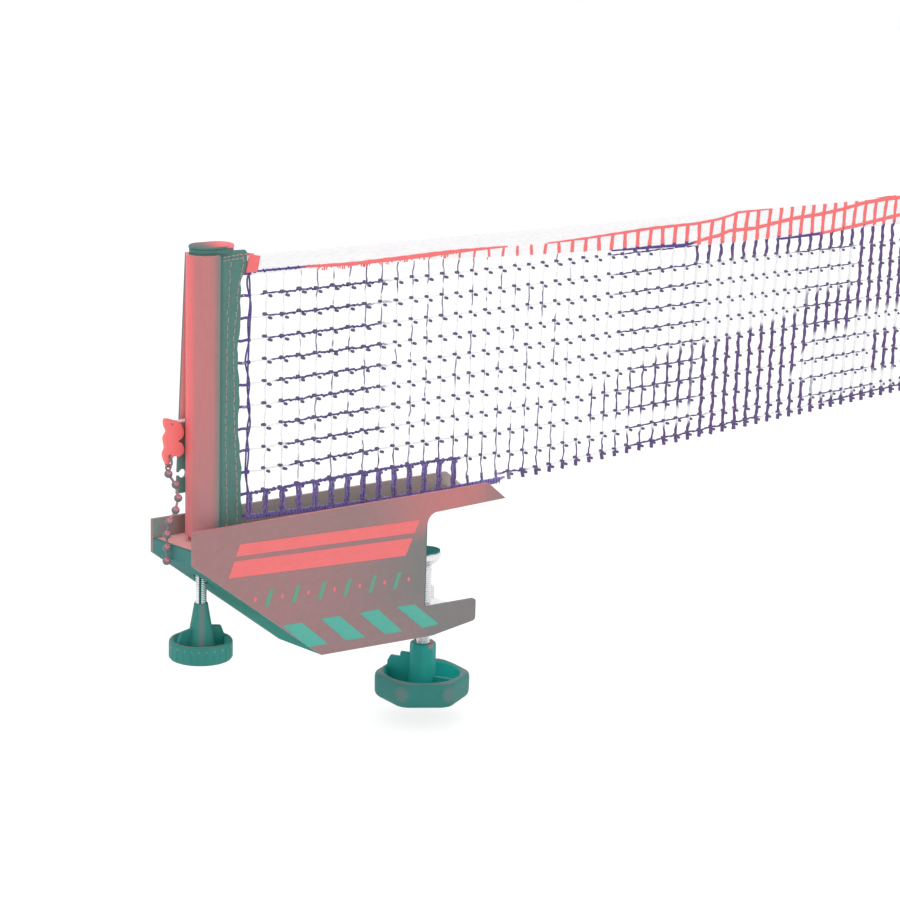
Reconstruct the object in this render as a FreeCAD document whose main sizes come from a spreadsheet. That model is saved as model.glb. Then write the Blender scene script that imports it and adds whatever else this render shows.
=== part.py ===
import FreeCAD, Part
import math
import os
import re

import Sketcher

# Table tennis net clamp: one post assembly with the stretch of net beside it.
# Frame: X runs along the net from the post towards the table, Y points away from the
# side that carries the stripes, Z is up. The origin lies on the seat that rests on the
# table top, where the axis of the clamp screw meets it. All sizes are in millimetres.

DIMENSIONS = [
    # clamp frame
    ("clamp_width", 37, "outside of one cheek to outside of the other"),
    ("cheek_thickness", 2, "sheet of the cheeks"),
    ("throat_depth", 16, "table edge to clamp screw axis"),
    ("arm_reach", 61, "table edge to tip of the upper arm"),
    ("arm_slope", 14, "length of the slanted tip"),
    ("arm_top", 11.2, "top of the arm at its tip, above the table"),
    ("over_hang", 152.5, "table edge to outer face of the post"),
    ("end_margin", 10.7, "outer face of the post to outer end of the clamp"),
    ("end_top", 15.5, "top of the cheeks at the outer end"),
    ("end_drop", 2.4, "lower corner of the outer end, below the table top"),
    ("floor_top", 5, "top of the floor under the post"),
    ("floor_length", 54, "length of the floor"),
    ("heel_reach", 76.5, "table edge to the heel of the cheeks"),
    ("heel_drop", 67, "heel below the table top"),
    ("jaw_drop", 54, "lower arm's upper edge at the throat, below the table top"),
    ("lower_reach", 39.5, "table edge to end of the lower arm"),
    ("lower_high", 56, "lower arm's end, upper corner below the table top"),
    ("lower_low", 69, "lower arm's end, lower corner below the table top"),
    ("edge_drop", 72, "bottom edge under the throat, below the table top"),
    ("throat_radius", 7, "corner between the arm and the throat"),
    ("seat_gap", 0.4, "cheek edges stand back behind the liners"),
    ("liner_thickness", 1, "felt under the seat and rubber on the edge stop"),
    ("strip_thickness", 2, "folded jaw strip, end strip and floor"),
    ("plate_drop", 66, "underside of the lower jaw plate"),
    ("plate_thickness", 3, "lower jaw plate"),
    # clamp screw, its foot and its knob
    ("clamp_diameter", 8, "clamp screw"),
    ("clamp_nut_width", 14, "clamp nut across its round body"),
    ("clamp_nut_height", 8, "clamp nut, from the underside of its plate"),
    ("jaw_opening", 27, "table seat to face of the pressure foot, as shown"),
    ("foot_diameter", 18, "pressure foot"),
    ("foot_height", 4.5, "pressure foot with its facing"),
    ("facing_thickness", 1, "rubber facing of the pressure foot"),
    ("ball_diameter", 6, "ball end of the clamp screw"),
    ("knob_across", 58, "clamp knob across its rounded corners, before rounding"),
    ("knob_bottom", 115, "underside of the clamp knob, below the table top"),
    ("knob_height", 15.2, "clamp knob's wall"),
    ("knob_wall", 5.6, "clamp knob's wall thickness"),
    ("knob_floor", 4, "clamp knob's floor"),
    ("boss_width", 14.4, "clamp knob's boss across flats"),
    ("boss_top", 82, "top of the clamp knob's boss, below the table top"),
    # height screw and its knob
    ("lift_diameter", 6, "height screw"),
    ("lift_set_in", 8.2, "outer face of the post to the axis of the height screw"),
    ("wheel_diameter", 33.6, "height knob"),
    ("wheel_bottom", 59.3, "underside of the height knob, below the table top"),
    ("wheel_height", 10.3, "height knob's wall"),
    ("wheel_wall", 2.6, "height knob's wall thickness"),
    ("wheel_floor", 3, "height knob's floor"),
    ("hub_foot", 16.6, "height knob's hub, diameter at its foot"),
    ("hub_tip", 7, "height knob's hub, diameter at its tip"),
    ("hub_top", 29, "top of the height knob's hub, below the table top"),
    ("lift_nut_width", 10, "height nut across flats"),
    ("lift_nut_height", 5, "height nut"),
    # post
    ("post_radius", 9.3, "round outer wall of the post"),
    ("post_wall", 1.2, "sheet of the post"),
    ("post_lip", 3.4, "straight walls beyond the round one"),
    ("post_top", 154.6, "top edge of the post"),
    ("post_foot", 8, "bottom edge of the post"),
    ("guide_top", 46, "top of the guide block inside the post"),
    ("guide_reach", 2.9, "guide block beyond the centre of the post"),
    ("thrust_height", 58, "underside of the thrust plate inside the post"),
    ("thrust_thickness", 2.5, "thrust plate"),
    ("cap_top", 158.2, "rim of the cap"),
    ("cap_rise", 2, "dome of the cap"),
    ("cap_length", 9, "straight part of the cap, along the net"),
    ("cap_depth", 7, "cap's plug below the post's top edge"),
    ("cap_skirt", 151, "lower edge of the cap's head"),
    ("rib_foot", 29, "bottom of the tapered back plate"),
    ("rib_low", 10.1, "back plate's reach outside the post axis at its foot"),
    ("rib_high", 4.3, "back plate's reach outside the post axis at its top"),
    ("key_diameter", 4.6, "keyhole that locks a bead of the chain"),
    ("key_slot", 1.8, "slot of the keyhole"),
    ("key_height", 39.5, "height of the keyhole"),
    # net
    ("net_top", 152.5, "upper edge of the net above the table"),
    ("net_foot", 12.9, "lower edge of the mesh"),
    ("net_length", 602, "stretch of mesh beside the sleeve"),
    ("net_thickness", 1.2, "mesh"),
    ("net_cord", 1.8, "width of a cord of the mesh"),
    ("row_pitch", 11.74, "one row of the mesh"),
    ("row_count", 11, "rows of gaps"),
    ("column_count", 27, "columns of gaps, each two cells of the real mesh"),
    ("tape_height", 10.5, "white tape along the upper edge"),
    ("tape_wall", 0.6, "cloth of the tape"),
    ("cord_diameter", 1.8, "tension cord"),
    ("sleeve_reach", 26.7, "post axis to free edge of the sleeve"),
    ("sleeve_half", 5.2, "sleeve about its rod, from the middle of the net"),
    ("sleeve_foot", 11, "bottom of the sleeve"),
    ("sleeve_top", 155, "top of the sleeve"),
    ("rod_diameter", 6, "rod in the sleeve"),
    ("rod_top", 148, "top of the rod"),
    ("hem_width", 22, "hem at the far end of the stretch"),
    ("hem_thickness", 3, "hem at the far end of the stretch"),
    ("band_length", 192, "reinforcing band along the lower edge, from the sleeve"),
    ("band_height", 7.5, "reinforcing band"),
    ("band_fall", 6, "how far the band drops towards its end"),
    # cord clip and bead chain
    ("clip_thickness", 2.6, "cord clip"),
    ("bead_diameter", 4.3, "bead of the chain"),
    ("bead_pitch", 7, "bead to bead"),
    ("link_diameter", 1.3, "wire between two beads"),
    ("ring_wire", 1.2, "wire of the ring between clip and chain"),
    ("cord_bend", 2.8, "bend radius of the tension cord"),
    ("knot_diameter", 2.4, "knot at the end of the tension cord"),
    # clearances
    ("running_gap", 0.05, "radial clearance of a turning or sliding fit"),
    ("soft_gap", 0.3, "clearance round soft or loose pieces"),
]

DOC = FreeCAD.newDocument("net_clamp")
NODES = {}


def bound(formula):
    """A formula's words, each with an underscore, become cells of the sheet."""
    return re.sub(r"[a-z]+(?:_[a-z]+)+", lambda word: "sizes." + word.group(0), formula)


def make_sheet():
    sheet = DOC.addObject("Spreadsheet::Sheet", "sizes")
    sheet.Label = "driving dimensions"
    for row, (alias, value, meaning) in enumerate(DIMENSIONS, start=1):
        sheet.set(f"A{row}", alias)
        sheet.set(f"B{row}", str(value))
        sheet.set(f"C{row}", meaning)
        sheet.setAlias(f"B{row}", alias)
    DOC.recompute()
    return sheet


SIZES = make_sheet()


def size(alias):
    return float(SIZES.get(alias))


def bind(thing, **formulas):
    for name, formula in formulas.items():
        thing.setExpression(name.replace("__", "."), bound(formula))


def place(thing, x="0", y="0", z="0"):
    bind(thing, Placement__Base__x=x, Placement__Base__y=y, Placement__Base__z=z)


def node(label, thing):
    thing.Label = label
    NODES[label] = thing
    return thing


# Places that several pieces share, as formulas of the sheet.
TABLE_EDGE = "-throat_depth"
POST_FACE = "-(throat_depth + over_hang)"
POST_AXIS = "-(throat_depth + over_hang - post_radius)"
LIFT_AXIS = "-(throat_depth + over_hang - lift_set_in)"
OUTER_END = "-(throat_depth + over_hang + end_margin)"
HEEL = "-(throat_depth + heel_reach)"
INSIDE_WIDTH = "clamp_width - 2 * cheek_thickness"
SLEEVE_EDGE = f"({POST_AXIS} + sleeve_reach)"
FACE_X = -(size("throat_depth") + size("over_hang"))
POST_X = FACE_X + size("post_radius")
NET_START = POST_X + size("sleeve_reach")


# Sketched pieces

def new_body(name):
    return DOC.addObject("PartDesign::Body", name)


def origin_plane(body, role):
    return next(plane for plane in body.Origin.OriginFeatures if plane.Role == role)


def new_sketch(body, plane, name):
    sketch = body.newObject("Sketcher::SketchObject", name)
    sketch.AttachmentSupport = [(origin_plane(body, plane), "")]
    sketch.MapMode = "FlatFace"
    return sketch


def pin_point(sketch, geometry, point, across, along, start):
    """Ties a point to the sketch's origin by two formulas."""
    for kind, axis, formula, value in (
        ("DistanceX", -2, across, start.x),
        ("DistanceY", -1, along, start.y),
    ):
        if formula == "0":
            sketch.addConstraint(Sketcher.Constraint("PointOnObject", geometry, point, axis))
            continue
        number = sketch.addConstraint(
            Sketcher.Constraint(kind, -1, 1, geometry, point, value))
        sketch.setExpression(f"Constraints[{number}]", bound(formula))


def polygon(body, plane, name, corners):
    """A closed outline whose corners are pairs of formulas."""
    sketch = new_sketch(body, plane, name)
    count = len(corners)
    turn = 2 * math.pi / count
    starts = [FreeCAD.Vector(50 * math.cos(turn * i + 0.1), 50 * math.sin(turn * i + 0.1), 0)
              for i in range(count)]
    for i in range(count):
        sketch.addGeometry(Part.LineSegment(starts[i], starts[(i + 1) % count]), False)
    for i in range(count):
        sketch.addConstraint(Sketcher.Constraint("Coincident", i, 2, (i + 1) % count, 1))
    for i, (across, along) in enumerate(corners):
        pin_point(sketch, i, 1, across, along, starts[i])
    return sketch


def circles(body, plane, name, rings):
    """Circles given as centre across, centre along and radius, all formulas."""
    sketch = new_sketch(body, plane, name)
    for i, (across, along, radius) in enumerate(rings):
        start = FreeCAD.Vector(20 * (i + 1), 20 * (i + 1), 0)
        sketch.addGeometry(Part.Circle(start, FreeCAD.Vector(0, 0, 1), 3), False)
        pin_point(sketch, i, 3, across, along, start)
        number = sketch.addConstraint(Sketcher.Constraint("Radius", i, 3))
        sketch.setExpression(f"Constraints[{number}]", bound(radius))
    return sketch


def pad(body, sketch, length, symmetric=False, reverse=False):
    feature = body.newObject("PartDesign::Pad", "Pad")
    feature.Profile = sketch
    feature.Midplane = symmetric
    feature.Reversed = reverse
    bind(feature, Length=length)
    return feature


def pocket_through(body, sketch):
    """Cuts right through, both ways from the sketch."""
    DOC.recompute()
    before = body.Shape.Volume
    feature = body.newObject("PartDesign::Pocket", "Pocket")
    feature.Profile = sketch
    feature.Midplane = True
    feature.Length = 2000
    DOC.recompute()
    if body.Shape.Volume >= before:
        raise RuntimeError(f"{body.Name}: a pocket cuts nothing")
    return feature


def revolve(body, sketch):
    feature = body.newObject("PartDesign::Revolution", "Revolution")
    feature.Profile = sketch
    feature.ReferenceAxis = (sketch, ["V_Axis"])
    feature.Angle = 360
    return feature


def round_corners(body, feature, sketch, corners, radius):
    """Rounds the edges that stand on the given corners of the outline."""
    DOC.recompute()
    places = [sketch.Placement.multVec(sketch.Geometry[i].StartPoint) for i in corners]
    normal = sketch.Placement.Rotation.multVec(FreeCAD.Vector(0, 0, 1))
    names = []
    for number, edge in enumerate(feature.Shape.Edges, start=1):
        for corner in places:
            spans = [(vertex.Point - corner).cross(normal).Length for vertex in edge.Vertexes]
            if len(spans) == 2 and max(spans) < 1e-4:
                names.append(f"Edge{number}")
    if len(names) != len(corners):
        raise RuntimeError(f"{body.Name}: {len(names)} edges found for {len(corners)} corners")
    fillet = body.newObject("PartDesign::Fillet", "Fillet")
    fillet.Base = (feature, names)
    bind(fillet, Radius=radius)
    body.Tip = fillet
    DOC.recompute()
    return fillet


# Clamp frame

CHEEK_OUTLINE = [
    (OUTER_END, "end_top"),
    ("arm_reach - throat_depth - arm_slope", "arm_top"),
    ("arm_reach - throat_depth", "seat_gap"),
    (f"{TABLE_EDGE} - seat_gap", "seat_gap"),
    (f"{TABLE_EDGE} - seat_gap", "-jaw_drop"),
    ("lower_reach - throat_depth", "-lower_high"),
    ("lower_reach - throat_depth", "-lower_low"),
    (f"{TABLE_EDGE} + 3 * cheek_thickness", "-edge_drop"),
    (HEEL, "-heel_drop"),
    (OUTER_END, "-end_drop"),
]


def make_cheek(label, inner_side):
    """A side plate; inner_side places its face that looks towards +Y."""
    body = new_body(label)
    sketch = polygon(body, "XZ_Plane", label + "_outline", CHEEK_OUTLINE)
    plate = pad(body, sketch, "cheek_thickness")
    plate = round_corners(body, plate, sketch, [3], "throat_radius")
    round_corners(body, plate, sketch, [4, 5, 6], "cheek_thickness")
    place(body, y=inner_side)
    node(label, body)


def make_end_strip():
    """Strip between the cheeks: an upright lip, then the slanted underside."""
    run = "(over_hang + end_margin - heel_reach)"
    fall = "(heel_drop - end_drop)"
    rise = f"(strip_thickness * sqrt({run}^2 + {fall}^2) / {run})"
    body = new_body("end_strip")
    sketch = polygon(body, "XZ_Plane", "end_strip_profile", [
        (OUTER_END, "floor_top"),
        (OUTER_END, "-end_drop"),
        (HEEL, "-heel_drop"),
        (HEEL, f"-heel_drop + {rise}"),
        (f"{OUTER_END} + strip_thickness",
         f"-end_drop + {rise} - strip_thickness * {fall} / {run}"),
        (f"{OUTER_END} + strip_thickness", "floor_top"),
    ])
    pad(body, sketch, INSIDE_WIDTH, symmetric=True)
    holes = circles(body, "XY_Plane", "end_strip_hole",
                    [(LIFT_AXIS, "0", "lift_diameter / 2 + 1.2")])
    pocket_through(body, holes)
    node("end_strip", body)


def make_floor():
    body = new_body("post_floor")
    sketch = polygon(body, "XZ_Plane", "floor_profile", [
        (f"{OUTER_END} + strip_thickness", "floor_top"),
        (f"{OUTER_END} + strip_thickness", "floor_top - strip_thickness"),
        (f"{OUTER_END} + floor_length", "floor_top - strip_thickness"),
        (f"{OUTER_END} + floor_length", "floor_top"),
    ])
    pad(body, sketch, INSIDE_WIDTH, symmetric=True)
    holes = circles(body, "XY_Plane", "floor_hole",
                    [(LIFT_AXIS, "0", "lift_diameter / 2 + soft_gap")])
    pocket_through(body, holes)
    node("post_floor", body)


def make_guide():
    """Block that stands on the floor; the post slides over it."""
    half = "(post_radius - post_wall - soft_gap) / sqrt(2)"
    body = new_body("post_guide")
    sketch = polygon(body, "XY_Plane", "guide_section", [
        (f"{POST_AXIS} - {half}", f"-{half}"),
        (f"{POST_AXIS} + guide_reach", f"-{half}"),
        (f"{POST_AXIS} + guide_reach", f"{half}"),
        (f"{POST_AXIS} - {half}", f"{half}"),
    ])
    place(body, z="floor_top")
    pad(body, sketch, "guide_top - floor_top")
    bore = circles(body, "XY_Plane", "guide_bore",
                   [(LIFT_AXIS, "0", "lift_diameter / 2 + running_gap")])
    pocket_through(body, bore)
    node("post_guide", body)


def hexagon(radius, centre):
    corners = []
    for i in range(6):
        angle = 60 * i
        corners.append((f"{centre} + {radius} * cos({angle}deg)",
                        f"{radius} * sin({angle}deg)" if i % 3 else "0"))
    return corners


def make_height_nut():
    body = new_body("height_nut")
    sketch = polygon(body, "XY_Plane", "height_nut_outline",
                     hexagon("(lift_nut_width / sqrt(3))", LIFT_AXIS))
    place(body, z="floor_top - strip_thickness - lift_nut_height")
    pad(body, sketch, "lift_nut_height")
    bore = circles(body, "XY_Plane", "height_nut_bore",
                   [(LIFT_AXIS, "0", "lift_diameter / 2 + running_gap")])
    pocket_through(body, bore)
    node("height_nut", body)


def make_jaw_angle():
    """Folded strip between the cheeks: seat on the table, stop on its edge."""
    stop = f"({TABLE_EDGE} - liner_thickness)"
    tip = "(arm_reach - throat_depth - arm_slope)"
    body = new_body("jaw_angle")
    sketch = polygon(body, "XZ_Plane", "jaw_angle_profile", [
        (tip, "liner_thickness"),
        (stop, "liner_thickness"),
        (stop, "-plate_drop"),
        (f"{stop} - strip_thickness", "-plate_drop"),
        (f"{stop} - strip_thickness", "liner_thickness + strip_thickness"),
        (tip, "liner_thickness + strip_thickness"),
    ])
    strip = pad(body, sketch, INSIDE_WIDTH, symmetric=True)
    strip = round_corners(body, strip, sketch, [1], "throat_radius")
    round_corners(body, strip, sketch, [4], "throat_radius + strip_thickness")
    node("jaw_angle", body)


def make_liner(label, corners):
    body = new_body(label)
    sketch = polygon(body, "XZ_Plane", label + "_profile", corners)
    pad(body, sketch, f"{INSIDE_WIDTH} - 2 * soft_gap", symmetric=True)
    node(label, body)


def make_liners():
    stop = f"({TABLE_EDGE} - liner_thickness)"
    tip = "(arm_reach - throat_depth - arm_slope)"
    flat_start = f"({stop} + throat_radius)"
    make_liner("seat_liner", [
        (flat_start, "0"), (tip, "0"), (tip, "liner_thickness"), (flat_start, "liner_thickness")])
    make_liner("edge_liner", [
        (stop, "-throat_radius"), (stop, "-jaw_drop"), (TABLE_EDGE, "-jaw_drop"),
        (TABLE_EDGE, "-throat_radius")])


def make_lower_plate():
    start = f"({TABLE_EDGE} - liner_thickness)"
    end = "(lower_reach - throat_depth - cheek_thickness)"
    body = new_body("lower_jaw_plate")
    sketch = polygon(body, "XZ_Plane", "lower_plate_profile", [
        (start, "-plate_drop"), (end, "-plate_drop"),
        (end, "-plate_drop + plate_thickness"), (start, "-plate_drop + plate_thickness")])
    pad(body, sketch, INSIDE_WIDTH, symmetric=True)
    hole = circles(body, "XY_Plane", "lower_plate_hole", [("0", "0", "clamp_nut_width / 2")])
    pocket_through(body, hole)
    node("lower_jaw_plate", body)


def make_clamp_nut():
    """Flanged round nut: its body fills the plate's hole, its flange lies on the plate."""
    bore = "(clamp_diameter / 2 + running_gap)"
    body = new_body("clamp_nut")
    sketch = polygon(body, "XZ_Plane", "clamp_nut_profile", [
        (bore, "0"), ("clamp_nut_width / 2", "0"),
        ("clamp_nut_width / 2", "plate_thickness"),
        ("clamp_nut_width / 2 + 2", "plate_thickness"),
        ("clamp_nut_width / 2 + 2", "clamp_nut_height - 1"),
        ("clamp_nut_width / 2 + 1", "clamp_nut_height"),
        (bore, "clamp_nut_height")])
    revolve(body, sketch)
    place(body, z="-plate_drop")
    node("clamp_nut", body)


# Clamp screw

FOOT_BOTTOM = "(-jaw_opening - foot_height)"


def make_foot():
    """Swivelling pressure foot with a round socket for the screw's ball end."""
    metal = "(foot_height - facing_thickness)"
    body = new_body("pressure_foot")
    sketch = polygon(body, "XZ_Plane", "foot_profile", [
        ("0", f"{metal} - 0.4"), ("0", f"{metal}"), ("foot_diameter / 2 - 0.6", f"{metal}"),
        ("foot_diameter / 2", f"{metal} - 0.6"), ("foot_diameter / 2", "0"),
        ("clamp_diameter / 2 + 2", "-3"),
        ("clamp_diameter / 2 + 0.5", "-3"),
        ("ball_diameter / 2 + soft_gap", f"{metal} - 0.4")])
    revolve(body, sketch)
    place(body, z=FOOT_BOTTOM)
    node("pressure_foot", body)

    facing = DOC.addObject("Part::Cylinder", "foot_facing")
    bind(facing, Radius="foot_diameter / 2 - 0.6", Height="facing_thickness")
    place(facing, z="-jaw_opening - facing_thickness")
    node("foot_facing", facing)


def make_clamp_screw():
    """Threaded rod drawn at its outer diameter, with a round nose and a pinned end."""
    nose = f"({FOOT_BOTTOM} + foot_height - facing_thickness - 0.4 - running_gap)"
    end = "(-knob_bottom + knob_floor / 2)"
    body = new_body("clamp_screw")
    sketch = polygon(body, "XZ_Plane", "clamp_screw_profile", [
        ("0", end), ("clamp_diameter / 2", end),
        ("clamp_diameter / 2", f"{FOOT_BOTTOM} - 1"),
        ("ball_diameter / 2 - 0.2", f"{FOOT_BOTTOM} + 0.6"),
        ("ball_diameter / 2 - 0.6", f"{nose} - 0.6"),
        ("ball_diameter / 2 - 1.4", nose), ("0", nose)])
    revolve(body, sketch)
    node("clamp_screw", body)


# How far each knob stands turned about its axis, in degrees.
CLAMP_KNOB_TURN = 112.0
HEIGHT_KNOB_TURN = -5.0


def make_clamp_knob():
    """Rounded hexagonal cup with an eight-sided boss, a stepped rib and a low rib."""
    outer = "(knob_across / 2)"
    inner = "(knob_across / 2 - knob_wall)"
    body = new_body("clamp_knob")
    body.Placement.Rotation = FreeCAD.Rotation(FreeCAD.Vector(0, 0, 1), CLAMP_KNOB_TURN)
    place(body, z="-knob_bottom")
    sketch = polygon(body, "XY_Plane", "knob_outline", [
        (f"{outer} * cos({angle}deg)" if angle % 180 != 90 else "0", f"{outer} * sin({angle}deg)")
        for angle in [30 + 60 * i for i in range(6)]])
    wall = pad(body, sketch, "knob_height")
    wall = round_corners(body, wall, sketch, range(6), "knob_across / 6.5")
    DOC.recompute()

    hollow = new_sketch(body, "XY_Plane", "knob_hollow")
    hollow.AttachmentOffset = FreeCAD.Placement(
        FreeCAD.Vector(0, 0, 0), FreeCAD.Rotation())
    hollow.setExpression("AttachmentOffset.Base.z", bound("knob_floor"))
    hollow.addGeometry(Part.Circle(FreeCAD.Vector(0, 0, 0), FreeCAD.Vector(0, 0, 1), 20), False)
    hollow.addConstraint(Sketcher.Constraint("Coincident", 0, 3, -1, 1))
    number = hollow.addConstraint(Sketcher.Constraint("Radius", 0, 20))
    hollow.setExpression(f"Constraints[{number}]", bound(f"{inner} * 0.93"))
    before = body.Shape.Volume
    cup = body.newObject("PartDesign::Pocket", "Cup")
    cup.Profile = hollow
    cup.Reversed = True
    bind(cup, Length="knob_height")
    DOC.recompute()
    if body.Shape.Volume >= before:
        raise RuntimeError("clamp_knob: the cup cuts nothing")

    ring = "(boss_width / 2 / cos(22.5deg))"
    boss = polygon(body, "XY_Plane", "knob_boss", [
        (f"{ring} * cos({angle}deg)", f"{ring} * sin({angle}deg)")
        for angle in [22.5 + 45 * i for i in range(8)]])
    pad(body, boss, "knob_bottom - boss_top")

    reach = f"({inner} * 0.93 + 0.5)"
    rib = polygon(body, "XZ_Plane", "knob_rib", [
        ("boss_width / 2 - 1", "knob_floor / 2"), (reach, "knob_floor / 2"),
        (reach, "knob_height + 3.2"), (f"{reach} * 0.92", "knob_height + 6.6"),
        (f"{reach} * 0.63", "knob_height + 6.6"), (f"{reach} * 0.63", "knob_height + 9.8"),
        ("boss_width / 2 - 1", "knob_height + 9.8")])
    pad(body, rib, "2.2", symmetric=True)
    low = polygon(body, "XZ_Plane", "knob_low_rib", [
        ("1 - boss_width / 2", "knob_floor / 2"), (f"-{reach}", "knob_floor / 2"),
        (f"-{reach}", "knob_height - 2"), ("1 - boss_width / 2", "knob_height - 2")])
    pad(body, low, "2.2", symmetric=True)

    bore = circles(body, "XY_Plane", "knob_bore", [("0", "0", "clamp_diameter / 2")])
    blind = body.newObject("PartDesign::Pocket", "Bore")
    blind.Profile = bore
    blind.Reversed = True
    bind(blind, Length="knob_bottom")
    bore.AttachmentOffset = FreeCAD.Placement(FreeCAD.Vector(0, 0, 0), FreeCAD.Rotation())
    bore.setExpression("AttachmentOffset.Base.z", bound("knob_floor / 2"))
    body.Tip = blind
    node("clamp_knob", body)


# Height screw

def make_height_screw():
    """Rod that lifts the post: a shoulder under the thrust plate and a neck through it."""
    end = "(-wheel_bottom + wheel_floor / 2)"
    neck = "(lift_diameter / 2 - 1)"
    shoulder = "(thrust_height - running_gap)"
    groove = "(thrust_height + thrust_thickness + running_gap)"
    body = new_body("height_screw")
    sketch = polygon(body, "XZ_Plane", "height_screw_profile", [
        ("0", end), ("lift_diameter / 2", end), ("lift_diameter / 2", shoulder),
        (neck, shoulder), (neck, groove), (f"{neck} - 0.5", groove),
        (f"{neck} - 0.5", f"{groove} + 1"), (neck, f"{groove} + 1"),
        (neck, f"{groove} + 2.5"), ("0", f"{groove} + 2.5")])
    revolve(body, sketch)
    place(body, x=LIFT_AXIS)
    node("height_screw", body)

    ring = new_body("screw_ring")
    profile = polygon(ring, "XZ_Plane", "screw_ring_profile", [
        (f"{neck} - 0.5", groove), (f"{neck} + 1.6", groove),
        (f"{neck} + 1.6", f"{groove} + 1"), (f"{neck} - 0.5", f"{groove} + 1")])
    revolve(ring, profile)
    place(ring, x=LIFT_AXIS)
    node("screw_ring", ring)


def make_height_knob():
    """Shallow round cup with a tall tapered hub and two ribs."""
    outer = "(wheel_diameter / 2)"
    body = new_body("height_knob")
    body.Placement.Rotation = FreeCAD.Rotation(FreeCAD.Vector(0, 0, 1), HEIGHT_KNOB_TURN)
    sketch = polygon(body, "XZ_Plane", "height_knob_profile", [
        ("lift_diameter / 2", "wheel_floor / 2"),
        ("0", "wheel_floor / 2"),
        ("0", "0"), (f"{outer} - 1.5", "0"), (outer, "1.5"),
        (outer, "wheel_height - 0.8"), (f"{outer} - 0.8", "wheel_height"),
        (f"{outer} - wheel_wall", "wheel_height"), (f"{outer} - wheel_wall", "wheel_floor"),
        ("hub_foot / 2", "wheel_floor"), ("hub_tip / 2", "wheel_bottom - hub_top"),
        ("lift_diameter / 2", "wheel_bottom - hub_top")])
    revolve(body, sketch)
    rib = polygon(body, "XZ_Plane", "height_knob_rib", [
        ("hub_foot / 2 - 3", "wheel_floor / 2"),
        (f"{outer} - wheel_wall + 0.4", "wheel_floor / 2"),
        (f"{outer} - wheel_wall + 0.4", "wheel_height - 0.2"),
        ("hub_foot / 2 + 3.9", "wheel_height + 5.6"),
        ("hub_foot / 2 - 3", "wheel_height + 7")])
    rib_pad = pad(body, rib, "1.8", symmetric=True)
    pattern = body.newObject("PartDesign::PolarPattern", "Ribs")
    pattern.Originals = [rib_pad]
    pattern.Axis = (rib, ["V_Axis"])
    pattern.Angle = 360
    pattern.Occurrences = 2
    body.Tip = pattern
    place(body, x=LIFT_AXIS, z="-wheel_bottom")
    node("height_knob", body)


# Post

def u_section(centre, radius, lip):
    """Outline of a half-round end with two straight walls, open towards +X."""
    top = FreeCAD.Vector(centre + lip, radius, 0)
    bottom = FreeCAD.Vector(centre + lip, -radius, 0)
    upper = FreeCAD.Vector(centre, radius, 0)
    lower = FreeCAD.Vector(centre, -radius, 0)
    back = FreeCAD.Vector(centre - radius, 0, 0)
    return [Part.makeLine(top, upper), Part.Arc(upper, back, lower).toShape(),
            Part.makeLine(lower, bottom)], top, bottom


def make_post():
    """Sheet channel: round towards the outside, open towards the net."""
    height = size("post_top") - size("post_foot")
    radius = size("post_radius")
    wall = size("post_wall")
    outer, outer_top, outer_bottom = u_section(POST_X, radius, size("post_lip"))
    inner, inner_top, inner_bottom = u_section(POST_X, radius - wall, size("post_lip"))
    edges = outer + [Part.makeLine(outer_bottom, inner_bottom)] + inner
    edges.append(Part.makeLine(inner_top, outer_top))
    face = Part.Face(Part.Wire(Part.__sortEdges__(edges)))
    channel = face.extrude(FreeCAD.Vector(0, 0, height))
    channel.translate(FreeCAD.Vector(0, 0, size("post_foot")))
    hole_axis = FreeCAD.Vector(POST_X - 2 * radius, CLIP_Y, KNOT.z)
    hole = Part.makeCylinder(size("cord_diameter") / 2 + size("soft_gap"), 2 * radius,
                             hole_axis, FreeCAD.Vector(1, 0, 0))
    channel = channel.cut(hole)
    shell = DOC.addObject("Part::Feature", "post_shell")
    shell.Shape = channel
    shell.Placement = FreeCAD.Placement()
    node("post_shell", shell)


def make_back_plate():
    """Tapered plate behind the post with the keyhole for the bead chain."""
    key_x = f"({POST_AXIS} - rib_low + 3.6)"
    body = new_body("back_plate")
    sketch = polygon(body, "XZ_Plane", "back_plate_outline", [
        (f"{POST_AXIS} - rib_low", "rib_foot"),
        (f"{POST_AXIS} + post_lip", "rib_foot"),
        (f"{POST_AXIS} + post_lip", "post_top"),
        (f"{POST_AXIS} - rib_high", "post_top")])
    pad(body, sketch, "post_wall")
    key = circles(body, "XZ_Plane", "keyhole", [(key_x, "key_height", "key_diameter / 2")])
    pocket_through(body, key)
    slot = polygon(body, "XZ_Plane", "keyhole_slot", [
        (key_x, "key_height - key_slot / 2"),
        (key_x, "key_height + key_slot / 2"),
        (f"{key_x} - rib_low", "key_height + key_slot / 2"),
        (f"{key_x} - rib_low", "key_height - key_slot / 2")])
    pocket_through(body, slot)
    place(body, y="post_radius + post_wall")
    node("back_plate", body)


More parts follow.
